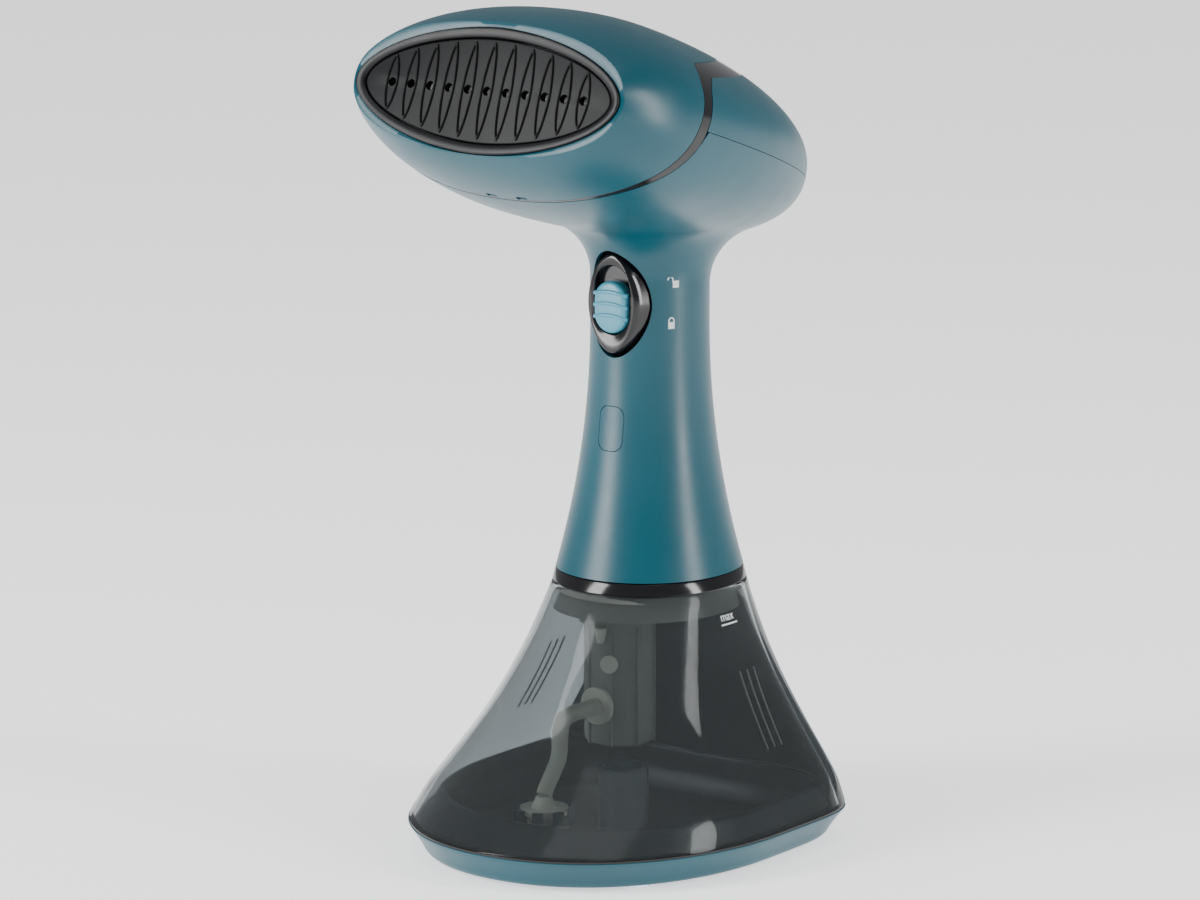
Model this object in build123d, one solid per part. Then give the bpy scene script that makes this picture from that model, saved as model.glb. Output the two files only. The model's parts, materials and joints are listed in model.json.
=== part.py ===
from build123d import *
from math import cos, sin, pi, sqrt, radians, degrees, acos
import os

# A hand-held garment steamer that stands on its flared water tank.
# Millimetres, +Z up, the steam plate faces -Y, origin under the middle at floor level.

# ---- driving dimensions: heights ----
FOOT_HEIGHT = 1.5
BASE_HEIGHT = 9.6
TANK_HEIGHT = 75.5
COLLAR_HEIGHT = 4.6
HANDLE_LENGTH = 114.5
HEAD_RISE = 55.3

# ---- handle ----
HANDLE_Y = 17.5
GRIP_RADIUS = 19.9
HANDLE_FOOT_RADIUS = 31.4
TAPER_SHARE = 0.72
SECTION_WIDE = 0.965
SECTION_DEEP = 1.035
HANDLE_WALL = 2.4
NECK_FILLET = 19.0
COLLAR_FLARE = 1.1
COLLAR_WALL = 3.4

# ---- tank and base ----
BASE_HALF_WIDTH = 65.2
BASE_FRONT = 77.5
BASE_REAR = 56.6
BASE_MID_Y = 1.8
REAR_BOXINESS = 3.4
TANK_WALL = 2.4
TRAY_WALL = 2.2
TRAY_TUCK = 5.6
UPSTAND_HEIGHT = 8.0
GASKET = 0.6
PANEL_WALL = 2.0
PANEL_WRAP_TOP = 13.5
PANEL_WRAP_BOTTOM = 11.5
FOOT_RADIUS = 5.0
FOOT_SINK = 2.0
FOOT_SIDE = 26.2
FOOT_FRONT = 33.5
FOOT_REAR = 19.2
# share of the tank height from the collar, share of the side flare, share of the front flare
FLARE = [(0.0, 0.0, 0.0), (0.09, 0.05, 0.075), (0.27, 0.18, 0.21), (0.445, 0.35, 0.35),
         (0.625, 0.57, 0.50), (0.80, 0.81, 0.70), (0.89, 0.92, 0.83), (1.0, 1.0, 1.0)]

# ---- head: distances run along its axis from the front opening ----
HEAD_REACH = 90.0
HEAD_TILT = 17.2
HEAD_LENGTH = 159.0
HEAD_HALF_WIDTH = 62.0
HEAD_UP = 33.8
HEAD_DOWN = 34.2
WIDEST_AT = 29.9
HIGHEST_AT = 42.8
LOWEST_AT = 48.0
HEAD_POWER = 2.2
HEAD_WALL = 2.4
COVER_SPLIT = -1.2

# ---- steam plate ----
PLATE_TILT = 19.8
PLATE_HALF_WIDTH = 48.8
PLATE_HALF_HEIGHT = 17.2
PLATE_POWER = 1.83
PLATE_THICK = 2.6
RIM_WIDTH = 3.4
RIM_DEPTH = 7.0
LIP = 1.0
HOLE_COUNT = 11
HOLE_PITCH = 7.6
HOLE_RADIUS = 1.5
RIDGE_HEIGHT = 0.7
RIDGE_WIDTH = 0.7

# ---- steam chamber ----
CHAMBER_HALF_WIDTH = 42.0
CHAMBER_HALF_HEIGHT = 12.5
CHAMBER_DEPTH = 15.0
CHAMBER_WALL = 3.0
LID_THICK = 2.5
HEATER_TUBE = 3.2

# ---- trigger and lock ----
TRIGGER_DROP = 23.2
TRIGGER_HEIGHT = 34.4
TRIGGER_WIDTH = 23.8
TRIGGER_FACE_WIDTH = 19.9
TRIGGER_FACE_HEIGHT = 33.6
TRIGGER_STAND = 0.6
TRIGGER_INNER = 7.6
TRIGGER_PRESS = 6.0
TRIGGER_GAP = 0.45
PIN_RADIUS = 1.25
SLOT_WIDTH = 13.7
SLOT_HEIGHT = 22.8
SLOT_DEPTH = 3.4
SLOT_RISE = 1.3
TRIGGER_SHOULDER = 5.0
TRIGGER_FLOOR = 1.6
NOTCH_DROP = 32.0
SLIDER_HEIGHT = 17.4
SLIDER_PROUD = 1.8
SLIDER_GAP = 0.35
STEM_WIDTH = 3.2
EAR_X = 5.0

# ---- lens, board and pump ----
LENS_RISE = 49.5
LENS_WIDTH = 9.6
LENS_HEIGHT = 14.8
PUMP_RADIUS = 8.0
PUMP_LENGTH = 42.0
PISTON_RADIUS = 4.0
PISTON_STROKE = 2.0

# ---- tank inside ----
COLUMN_Y = 0.5
COLUMN_RADIUS = 11.5
COLUMN_WALL = 1.6
COLUMN_RIB = 0.8
SLEEVE_RADIUS = 13.6
SLEEVE_HEIGHT = 9.0
COLUMN_BOTTOM = 34.0
ELBOW_HEIGHT = 48.0
HOSE_RADIUS = 2.0
HOSE_BEND_Y = -31.5
FILTER_Y = -42.0
FILTER_RADIUS = 8.0
NECK_RADIUS = 23.5
PORT_RADIUS = 3.6
CLEAR = 0.2

# ---- levels worked out from the above ----
Z_TRAY = FOOT_HEIGHT
Z_SEAM = Z_TRAY + BASE_HEIGHT
Z_SHELL = Z_SEAM + GASKET
Z_TANK_TOP = Z_SEAM + TANK_HEIGHT
Z_COLLAR = Z_TANK_TOP + 0.3
Z_HANDLE = Z_COLLAR + COLLAR_HEIGHT
Z_NECK = Z_HANDLE + HANDLE_LENGTH
Z_TRIGGER = Z_NECK - TRIGGER_DROP
Z_LENS = Z_HANDLE + LENS_RISE
FACE_HALF_WIDTH = PLATE_HALF_WIDTH + RIM_WIDTH + LIP
FACE_HALF_HEIGHT = PLATE_HALF_HEIGHT + RIM_WIDTH + LIP

AXIS = Vector(0, cos(radians(HEAD_TILT)), -sin(radians(HEAD_TILT)))
HEAD_FRONT = Vector(0, HANDLE_Y - HEAD_REACH, Z_NECK + HEAD_RISE)
HEAD_SIDE = Plane(origin=HEAD_FRONT, x_dir=AXIS, z_dir=(1, 0, 0))
FACE = Plane(origin=HEAD_FRONT, x_dir=(1, 0, 0),
             z_dir=(0, -cos(radians(PLATE_TILT)), sin(radians(PLATE_TILT))))
FAR = 400.0

NODES = {}


# ---- helpers ----
def signed_power(value, power):
    return (1 if value >= 0 else -1) * abs(value) ** power


def oval(plane, half_width, up, down, n_up=2.0, n_down=None, count=40):
    """A closed superellipse, with its own size and power above and below the plane's X axis."""
    n_down = n_down or n_up
    points = []
    for i in range(count):
        c, s = cos(2 * pi * i / count), sin(2 * pi * i / count)
        n, reach = (n_up, up) if s >= 0 else (n_down, down)
        local = Vector(half_width * signed_power(c, 2 / n), reach * signed_power(s, 2 / n), 0)
        points.append(plane.from_local_coords(local))
    return Wire([Edge.make_spline(points, periodic=True)])


def level(z, y=0.0):
    return Plane(origin=(0, y, z), x_dir=(1, 0, 0), z_dir=(0, 0, 1))


def prism(wire, direction):
    return Solid.extrude(Face(wire), Vector(*direction))


def cylinder(radius, start, direction, length):
    return Solid.make_cylinder(radius, length, Plane(origin=start, z_dir=direction))


def block(x0, x1, y0, y1, z0, z1):
    return Solid.make_box(x1 - x0, y1 - y0, z1 - z0, Plane(origin=(x0, y0, z0)))


def side_profile(points, plane=HEAD_SIDE):
    """A prism right across the object from an outline drawn in a side plane."""
    corners = [plane.from_local_coords(Vector(u, v, -FAR)) for u, v in points]
    wire = Wire.make_polygon(corners, close=True)
    return Solid.extrude(Face(wire), Vector(2 * FAR, 0, 0))


def tube(points, radius, radii, bore=0.0):
    """A round tube along straight runs joined by tangent arcs."""
    path = FilletPolyline(*points, radius=radii)
    start = Plane(origin=path @ 0, z_dir=path % 0)
    solid = sweep(start * Circle(radius), path=path).solid()
    if bore:
        solid = solid - sweep(start * Circle(bore), path=path).solid()
    return solid


def ring(outer, inner, start, direction, length):
    return cylinder(outer, start, direction, length) - cylinder(inner, start, direction, length)


def add(name, *solids):
    NODES[name] = list(solids)


# ---- handle and head skins ----
def handle_radius(z):
    share = min(max((z - Z_HANDLE) / HANDLE_LENGTH, 0), TAPER_SHARE)
    return GRIP_RADIUS + (HANDLE_FOOT_RADIUS - GRIP_RADIUS) * (1 - share / TAPER_SHARE) ** 2


def handle_skin(inset, z0, z1):
    count = 11
    wires = []
    for i in range(count):
        z = z0 + (z1 - z0) * i / (count - 1)
        r = handle_radius(z)
        deep = r * SECTION_DEEP - inset
        wires.append(oval(level(z, HANDLE_Y), r * SECTION_WIDE - inset, deep, deep, 2.08, count=32))
    return Solid.make_loft(wires)


def bulge(s, peak, peak_at, face, inset):
    """Half size of the head at s, from the front face over its peak to the rear tip."""
    nose = peak_at / sqrt(1 - (face / peak) ** 2)
    reach = (nose if s < peak_at else HEAD_LENGTH - peak_at) - inset
    return (peak - inset) * sqrt(max(0.0, 1 - ((s - peak_at) / reach) ** 2))


def head_skin(inset, start):
    count = 15
    wires = []
    end = HEAD_LENGTH - inset
    for i in range(count):
        s = start + (end - start) * sin(0.955 * pi / 2 * i / (count - 1))
        plane = Plane(origin=HEAD_FRONT + AXIS * s, x_dir=(1, 0, 0), z_dir=-AXIS)
        width = bulge(s, HEAD_HALF_WIDTH, WIDEST_AT, FACE_HALF_WIDTH, inset)
        up = bulge(s, HEAD_UP, HIGHEST_AT, FACE_HALF_HEIGHT, inset)
        down = bulge(s, HEAD_DOWN, LOWEST_AT, FACE_HALF_HEIGHT, inset)
        wires.append(oval(plane, width, up, down, HEAD_POWER))
    return Solid.make_loft(wires)


# edges of the trim band in the side view: along the head axis, above the head axis
BAND_FRONT = [(22.3, -FAR), (22.3, -31.0), (22.4, -27.5), (23.6, -22.5), (25.9, -17.0), (28.4, -10.5),
              (30.6, -4.5), (32.6, 2.0), (33.9, 8.5), (34.6, 14.5), (37.2, 20.3)]
BAND_REAR = [(23.3, -FAR), (23.3, -31.0), (23.8, -27.5), (26.0, -22.5), (29.2, -17.0), (32.6, -10.5),
             (35.3, -4.5), (37.3, 2.0), (38.5, 8.5), (39.8, 12.8), (43.4, 17.0)]
CHEVRON_FRONT = (96.0, 31.8)
CHEVRON_REAR = (112.0, 29.6)


def smooth_edge(points):
    """The band edge in the side view: straight below the head, then one smooth curve."""
    corners = [Vector(*p, 0) for p in points]
    curve = Edge.make_spline(corners[1:])
    steps = 24
    sampled = [curve.position_at(i / steps) for i in range(steps + 1)]
    return [points[0]] + [(p.X, p.Y) for p in sampled]


def front_region():
    edge = smooth_edge(BAND_FRONT)
    return side_profile(edge + [CHEVRON_FRONT, (CHEVRON_FRONT[0], FAR), (-FAR, FAR), (-FAR, -FAR)])


def rear_region():
    edge = smooth_edge(BAND_REAR)
    slope = (CHEVRON_REAR[1] - BAND_REAR[-1][1]) / (CHEVRON_REAR[0] - BAND_REAR[-1][0])
    end = (FAR, BAND_REAR[-1][1] + slope * (FAR - BAND_REAR[-1][0]))
    return side_profile(edge + [end, (FAR, -FAR)])


def face_oval(half_width, half_height, depth):
    return oval(FACE.offset(depth), half_width, half_height, half_height, PLATE_POWER, count=48)


def face_prism(half_width, half_height, from_depth, to_depth):
    """A prism square to the plate; depths are measured inwards from the face."""
    wire = face_oval(half_width, half_height, -from_depth)
    return prism(wire, -FACE.z_dir * (to_depth - from_depth))


def in_face(shape):
    return FACE.location * shape


def make_housings():
    outer_head = head_skin(0, -3.0)
    outer_handle = handle_skin(0, Z_HANDLE, Z_NECK + 12)
    inner_head = head_skin(HEAD_WALL, 3.0)
    inner_handle = handle_skin(HANDLE_WALL, Z_HANDLE - 1, Z_NECK + 12)
    body = outer_head.fuse(outer_handle)
    joint = [e for e in body.edges() if Z_NECK - 14 < e.center().Z < Z_NECK + 14
             and abs(e.center().Y - HANDLE_Y) < 20 and e.length > 60
             and e.bounding_box().size.X > 1.6 * GRIP_RADIUS and e.bounding_box().size.Z < 40]
    body = body.fillet(NECK_FILLET, joint)

    face_cut = prism(oval(FACE, FAR, FAR, FAR), FACE.z_dir * FAR)
    rear = rear_region()
    front = front_region()
    below = side_profile([(-FAR, COVER_SPLIT), (FAR, COVER_SPLIT), (FAR, -FAR), (-FAR, -FAR)])
    shell = outer_head - inner_head
    recess = face_prism(PLATE_HALF_WIDTH + RIM_WIDTH + CLEAR, PLATE_HALF_HEIGHT + RIM_WIDTH + CLEAR, 0, 12)

    notches = [side_box(x, 4.2) for x in (-6.0, 6.0)]
    front_shell = (shell & front) - face_cut - recess
    for notch in notches:
        front_shell = front_shell - notch
    add("front_shell", front_shell)
    add("trim_band", shell - front - rear)
    add("head_top_cover", (shell & rear) - below)

    housing = (body & rear & below) - inner_head - inner_handle
    return housing, outer_handle - inner_handle, inner_handle


def side_box(x, width):
    """A small notch in the lower edge of the front shell, for hooking on a brush."""
    start = HEAD_SIDE.from_local_coords(Vector(BAND_FRONT[1][0] - 2.2, -NOTCH_DROP, x - width / 2))
    plane = Plane(origin=start, x_dir=AXIS, z_dir=(1, 0, 0))
    return Solid.make_box(2.4, HEAD_WALL + 2.0, width, plane)


# ---- trigger, lock and switch ----
def trigger_oval(width, height, y, z=None):
    plane = Plane(origin=(0, y, Z_TRIGGER if z is None else z), x_dir=(1, 0, 0), z_dir=(0, -1, 0))
    return oval(plane, width / 2, height / 2, height / 2, 1.85)


HANDLE_FRONT = HANDLE_Y - GRIP_RADIUS * SECTION_DEEP
TRIGGER_FACE_Y = HANDLE_FRONT - TRIGGER_STAND
TRIGGER_BACK_Y = HANDLE_FRONT + TRIGGER_INNER
PIVOT_Y = TRIGGER_BACK_Y + 2.6
PIVOT_Z = Z_TRIGGER + TRIGGER_HEIGHT / 2 - 2.0
SLIDER_TRAVEL = SLOT_HEIGHT - SLIDER_HEIGHT - 2 * SLIDER_GAP
SLOT_Z = Z_TRIGGER + SLOT_RISE
SLIDER_Z = SLOT_Z - SLIDER_TRAVEL / 2


def slot_prism(width, height, y0, y1, z):
    """A round-ended prism along Y."""
    sketch = Plane(origin=(0, y0, z), x_dir=(0, 0, 1), z_dir=(0, 1, 0)) * SlotOverall(height, width)
    return extrude(sketch, y1 - y0).solid()


def trigger_window():
    """The opening in the handle, cut wide enough for the press about the pivot."""
    wires = [trigger_oval(TRIGGER_WIDTH + 2 * TRIGGER_GAP, TRIGGER_HEIGHT + 2 * TRIGGER_GAP + 1.2, y, Z_TRIGGER - 0.3)
             for y in (HANDLE_Y - 40, HANDLE_Y - 8)]
    return Solid.make_loft(wires, ruled=True)


def make_trigger():
    body = Solid.make_loft([trigger_oval(TRIGGER_WIDTH, TRIGGER_HEIGHT, TRIGGER_BACK_Y),
                            trigger_oval(TRIGGER_WIDTH, TRIGGER_HEIGHT, HANDLE_FRONT + TRIGGER_SHOULDER)], ruled=True)
    nose = Solid.make_loft([trigger_oval(TRIGGER_WIDTH, TRIGGER_HEIGHT, HANDLE_FRONT + TRIGGER_SHOULDER),
                            trigger_oval(TRIGGER_FACE_WIDTH, TRIGGER_FACE_HEIGHT, TRIGGER_FACE_Y)], ruled=True)
    face_edges = [e for e in nose.edges() if abs(e.center().Y - TRIGGER_FACE_Y) < 0.01]
    body = body.fuse(nose.fillet(1.6, face_edges))
    body = body - slot_prism(SLOT_WIDTH, SLOT_HEIGHT, TRIGGER_FACE_Y - 1, TRIGGER_FACE_Y + SLOT_DEPTH, SLOT_Z)
    slit = STEM_WIDTH + 2 * SLIDER_GAP
    body = body - slot_prism(slit, SLIDER_TRAVEL + 6.0 + 2 * SLIDER_GAP, TRIGGER_FACE_Y, TRIGGER_BACK_Y + 1, SLOT_Z)
    pocket = trigger_oval(TRIGGER_WIDTH - 8.2, TRIGGER_HEIGHT - 7.4, TRIGGER_BACK_Y)
    body = body - prism(pocket, (0, -(TRIGGER_INNER + TRIGGER_STAND - SLOT_DEPTH - TRIGGER_FLOOR), 0))
    for side in (-1, 1):
        x = side * EAR_X
        ear = block(x - 1.2, x + 1.2, TRIGGER_BACK_Y + 0.2, PIVOT_Y + 2.6, PIVOT_Z - 11.0, PIVOT_Z + 2.2)
        root = block(x - 1.2, x + 1.2, TRIGGER_BACK_Y - 1.6, TRIGGER_BACK_Y + 0.3, PIVOT_Z - 11.0, PIVOT_Z - 6.5)
        body = body.fuse(ear, root)
    nub = block(-2.2, 2.2, TRIGGER_BACK_Y - 1.5, SWITCH_Y - 2.6, SWITCH_Z - 1.5, SWITCH_Z + 1.5)
    bridge = block(-TRIGGER_WIDTH / 2 + 4.4, TRIGGER_WIDTH / 2 - 4.4, TRIGGER_BACK_Y - 2.2, TRIGGER_BACK_Y,
                   SWITCH_Z - 1.5, SWITCH_Z + 1.5)
    body = body.fuse(nub, bridge)
    body = body - cylinder(PIN_RADIUS + 0.1, (-8, PIVOT_Y, PIVOT_Z), (1, 0, 0), 16)
    add("trigger", body)

    slider = slot_prism(SLOT_WIDTH - 2 * SLIDER_GAP, SLIDER_HEIGHT, TRIGGER_FACE_Y - SLIDER_PROUD,
                        TRIGGER_FACE_Y + SLOT_DEPTH - SLIDER_GAP, SLIDER_Z)
    front_edges = [e for e in slider.edges() if abs(e.center().Y - TRIGGER_FACE_Y + SLIDER_PROUD) < 0.01]
    slider = slider.fillet(0.9, front_edges)
    for k in (-1, 0, 1):
        groove = block(-SLOT_WIDTH, SLOT_WIDTH, TRIGGER_FACE_Y - SLIDER_PROUD - 1, TRIGGER_FACE_Y - SLIDER_PROUD + 0.6,
                       SLIDER_Z + 3.6 * k - 0.35, SLIDER_Z + 3.6 * k + 0.35)
        slider = slider - groove
    stem = slot_prism(STEM_WIDTH, 6.0, TRIGGER_FACE_Y + SLOT_DEPTH - 1.2, TRIGGER_BACK_Y - 0.8, SLIDER_Z)
    add("lock_slider", slider.fuse(stem))

    half_pin = pin_half_length()
    add("trigger_pin", cylinder(PIN_RADIUS, (-half_pin, PIVOT_Y, PIVOT_Z), (1, 0, 0), 2 * half_pin))
    coil = Helix(pitch=1.1, height=4.4, radius=PIN_RADIUS + 0.9, center=(-2.2, PIVOT_Y, PIVOT_Z), direction=(1, 0, 0))
    add("trigger_spring", sweep(Plane(origin=coil @ 0, z_dir=coil % 0) * Circle(0.4), path=coil).solid())


def pin_half_length():
    """The pivot pin reaches half way into the handle wall on each side."""
    r = handle_radius(PIVOT_Z)
    share = 1 - ((HANDLE_Y - PIVOT_Y) / (r * SECTION_DEEP - HANDLE_WALL)) ** 2
    return (r * SECTION_WIDE - HANDLE_WALL) * sqrt(share) + 1.2


SWITCH_Y = TRIGGER_BACK_Y + 7.0
SWITCH_Z = Z_TRIGGER - 8.0
PRESS_TRAVEL = (PIVOT_Z - SWITCH_Z) * sin(radians(TRIGGER_PRESS))


def make_switch():
    body = block(-3.2, 3.2, SWITCH_Y, SWITCH_Y + 10.5, SWITCH_Z - 6.5, SWITCH_Z + 13.0)
    body = body - cylinder(1.5, (0, SWITCH_Y - 1, SWITCH_Z), (0, 1, 0), PRESS_TRAVEL + 4.6)
    add("microswitch", body)
    add("switch_plunger", cylinder(1.3, (0, SWITCH_Y - 2.5, SWITCH_Z), (0, 1, 0), 5.5))
    terminals = [block(-1.0, 1.0, SWITCH_Y + 10.5, SWITCH_Y + 14.0, SWITCH_Z + dz - 0.3, SWITCH_Z + dz + 0.3)
                 for dz in (-4.0, 2.0, 9.0)]
    add("switch_terminals", *terminals)


# ---- housings and what is let into them ----
COVER_HALF_WIDTH = 11.0
COVER_Z0 = Z_HANDLE + 3.5
COVER_Z1 = Z_NECK - 32.0
GLAND_Z = Z_HANDLE + 18.5
GLAND_RADIUS = 5.0
SCREW_HEIGHTS = (GLAND_Z + 16.0, COVER_Z1 - 10.0)


def rear_prism(margin):
    height = COVER_Z1 - COVER_Z0 + 2 * margin
    width = 2 * (COVER_HALF_WIDTH + margin)
    plane = Plane(origin=(0, HANDLE_Y + 6, (COVER_Z0 + COVER_Z1) / 2), x_dir=(0, 0, 1), z_dir=(0, 1, 0))
    return extrude(plane * RectangleRounded(height, width, 6.0), 60).solid()


def rear_wall_y(z):
    return HANDLE_Y + handle_radius(z) * SECTION_DEEP


def make_handle(housing, handle_wall, cavity):
    housing = housing - trigger_window()
    lens_cut = slot_lens(0.12)
    add("indicator_lens", handle_wall & slot_lens(0.0))
    housing = housing - lens_cut - rear_prism(0.15)

    cover = handle_wall & rear_prism(0.0)
    for z in SCREW_HEIGHTS:
        bridge_y = rear_wall_y(z) - 12.0
        bridge = block(-40, 40, bridge_y, bridge_y + 3.0, z - 4.5, z + 4.5) & cavity
        bridge = bridge - cylinder(1.2, (0, bridge_y - 1, z), (0, 1, 0), 6)
        housing = housing.fuse(bridge)
        boss = cylinder(3.6, (0, bridge_y + 3.05, z), (0, 1, 0), rear_wall_y(z) - HANDLE_WALL / 2 - bridge_y - 3.05)
        cover = cover.fuse(boss)
        cover = cover - cylinder(1.7, (0, bridge_y, z), (0, 1, 0), 30)
        cover = cover - cylinder(3.0, (0, rear_wall_y(z) - 3.0, z), (0, 1, 0), 10)
    cover = cover - cylinder(GLAND_RADIUS + 0.1, (0, HANDLE_Y, GLAND_Z), (0, 1, 0), 60)
    for x in (-1, 1):
        pin_boss = block(min(x * 7.6, x * 40), max(x * 7.6, x * 40), PIVOT_Y - 2.0, PIVOT_Y + 3.0,
                         PIVOT_Z - 3.0, PIVOT_Z + 3.0) & cavity
        housing = housing.fuse(pin_boss)
    half_pin = pin_half_length()
    housing = housing - cylinder(PIN_RADIUS, (-half_pin, PIVOT_Y, PIVOT_Z), (1, 0, 0), 2 * half_pin)
    add("main_housing", housing)
    add("handle_rear_cover", cover)
    add("cover_screws", *[screw((0, rear_wall_y(z) - 3.0, z)) for z in SCREW_HEIGHTS])

    gland_y = rear_wall_y(GLAND_Z)
    gland = cylinder(GLAND_RADIUS, (0, gland_y - 9, GLAND_Z), (0, 1, 0), 9.6)
    gland = gland.fuse(cylinder(GLAND_RADIUS + 1.5, (0, gland_y - 6.6, GLAND_Z), (0, 1, 0), 2.0))
    add("cable_gland", gland - cylinder(3.2, (0, gland_y - 10, GLAND_Z), (0, 1, 0), 20))
    clamp_y = gland_y - 15.0
    clamp = block(-8, 8, clamp_y, clamp_y + 5.8, GLAND_Z - 5.5, GLAND_Z + 5.5)
    add("cable_clamp", clamp - cylinder(3.0, (0, clamp_y - 1, GLAND_Z), (0, 1, 0), 10))
    add("clamp_screws", *[cylinder(1.4, (x, clamp_y - 1.2, GLAND_Z + 4.0), (0, 1, 0), 1.2) for x in (-6.0, 6.0)])


def screw(seat):
    """A countersunk-style screw along -Y: its head fills the recess, its shank runs inwards."""
    head = cylinder(2.8, seat, (0, 1, 0), 1.6)
    shank = cylinder(1.4, (seat[0], seat[1] - 5.6, seat[2]), (0, 1, 0), 5.8)
    tip = cylinder(1.15, (seat[0], seat[1] - 9.5, seat[2]), (0, 1, 0), 4.2)
    cross = block(-1.8, 1.8, seat[1] + 0.9, seat[1] + 2, seat[2] - 0.4, seat[2] + 0.4)
    cross = cross.fuse(block(-0.4, 0.4, seat[1] + 0.9, seat[1] + 2, seat[2] - 1.8, seat[2] + 1.8))
    return head.fuse(shank, tip) - cross


def slot_lens(margin):
    plane = Plane(origin=(0, HANDLE_Y - 60, Z_LENS), x_dir=(0, 0, 1), z_dir=(0, 1, 0))
    shape = RectangleRounded(LENS_HEIGHT + 2 * margin, LENS_WIDTH + 2 * margin, LENS_WIDTH / 2 - 1.4)
    return extrude(plane * shape, 50).solid()


def handle_outline(z, inset, grow=0.0):
    r = handle_radius(z)
    deep = r * SECTION_DEEP - inset + grow
    return oval(level(z, HANDLE_Y), r * SECTION_WIDE - inset + grow, deep, deep, 2.08, count=32)


def make_collar(cavity):
    top = handle_outline(Z_HANDLE, 0)
    bottom = oval(level(Z_COLLAR, HANDLE_Y), HANDLE_FOOT_RADIUS * SECTION_WIDE + COLLAR_FLARE,
                  HANDLE_FOOT_RADIUS * SECTION_DEEP + COLLAR_FLARE, HANDLE_FOOT_RADIUS * SECTION_DEEP + COLLAR_FLARE,
                  2.08, count=32)
    collar = Solid.make_loft([bottom, top], ruled=True)
    bore = oval(level(Z_COLLAR - 1, HANDLE_Y), *[HANDLE_FOOT_RADIUS * k - COLLAR_WALL - HANDLE_WALL
                for k in (SECTION_WIDE, SECTION_DEEP, SECTION_DEEP)], 2.08, count=32)
    lip = prism(oval(level(Z_HANDLE - 1, HANDLE_Y), *[HANDLE_FOOT_RADIUS * k - HANDLE_WALL - 1.0
                for k in (SECTION_WIDE, SECTION_DEEP, SECTION_DEEP)], 2.08, count=32), (0, 0, 3.5))
    add("collar_ring", collar.fuse(lip) - prism(bore, (0, 0, 20)))

    floor_z = Z_HANDLE + 9.0
    slab = block(-60, 60, -60, 90, floor_z, floor_z + 2.4) & handle_skin(HANDLE_WALL + 0.15, Z_HANDLE - 1, Z_NECK)
    port = (0, PORT_Y, Z_TANK_TOP + 3.0)
    spigot = cylinder(PORT_RADIUS - CLEAR, port, (0, 0, 1), floor_z - port[2] + 0.5)
    spigot = spigot - ring(PORT_RADIUS + 1, PORT_RADIUS - 1.2, (0, PORT_Y, port[2] + 1.5), (0, 0, 1), 1.6)
    barb = cylinder(2.2, (0, PORT_Y, floor_z + 1), (0, 0, 1), 5.0)
    closure = slab.fuse(spigot, barb) - cylinder(1.2, (0, PORT_Y, port[2] - 1), (0, 0, 1), 40)
    add("bottom_closure", closure)
    add("spigot_seal", ring(PORT_RADIUS - CLEAR / 2, PORT_RADIUS - 1.15, (0, PORT_Y, port[2] + 1.6), (0, 0, 1), 1.4))
    return floor_z + 2.4


PORT_Y = COLUMN_Y + 4.0


# ---- inside the handle and head ----
def make_pump(floor_top):
    z0 = floor_top + 8.0
    y = HANDLE_Y + 1.0
    body = cylinder(PUMP_RADIUS, (0, y, z0), (0, 0, 1), PUMP_LENGTH)
    body = body - cylinder(PISTON_RADIUS + 0.3, (0, y, z0 + 4), (0, 0, 1), PUMP_LENGTH - 8)
    nozzles = cylinder(2.2, (0, y, z0 - 5.0), (0, 0, 1), 6.0).fuse(cylinder(2.2, (0, y, z0 + PUMP_LENGTH - 1), (0, 0, 1), 6.0))
    body = body.fuse(nozzles) - cylinder(1.1, (0, y, z0 - 6), (0, 0, 1), 12)
    body = body - cylinder(1.1, (0, y, z0 + PUMP_LENGTH - 6), (0, 0, 1), 14)
    add("pump_body", body)
    coil_z = z0 + 10.0
    coil = block(-10.0, 10.0, y - 10.0, y + 10.0, coil_z, coil_z + 20)
    add("pump_coil", coil - cylinder(PUMP_RADIUS + 0.05, (0, y, coil_z - 1), (0, 0, 1), 22))
    piston_z = z0 + 4 + PISTON_STROKE + 6.0
    piston = cylinder(PISTON_RADIUS, (0, y, piston_z), (0, 0, 1), 14.0) - cylinder(1.2, (0, y, piston_z - 1), (0, 0, 1), 16)
    add("pump_piston", piston)
    spring_z = z0 + 4.4
    coil_spring = Helix(pitch=1.9, height=piston_z - spring_z - 0.9, radius=2.9, center=(0, y, spring_z + 0.4))
    add("pump_spring", sweep(Plane(origin=coil_spring @ 0, z_dir=coil_spring % 0) * Circle(0.35), path=coil_spring).solid())
    cushions = [ring(PUMP_RADIUS + 3.0, PUMP_RADIUS + 0.05, (0, y, z), (0, 0, 1), 3.0) for z in (z0 + 2.0, z0 + PUMP_LENGTH - 6.0)]
    add("pump_cushions", *cushions)
    lower = [(0, PORT_Y, floor_top + 1.2), (0, PORT_Y, floor_top + 3.2), (0, y, z0 - 5.6), (0, y, z0 - 3.6)]
    add("suction_link", ring(3.0, 2.3, lower[0], (0, 0, 1), 2.6))
    return y, z0 + PUMP_LENGTH + 5.0


def make_board():
    board_y = HANDLE_Y - 14.5
    z0 = Z_LENS - 16.0
    add("circuit_board", block(-8.0, 8.0, board_y, board_y + 1.4, z0, z0 + 34.0))
    add("indicator_led", cylinder(1.8, (0, board_y - 2.6, Z_LENS), (0, 1, 0), 2.6).fuse(
        Solid.make_sphere(1.8, Plane(origin=(0, board_y - 2.6, Z_LENS)))))


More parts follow.
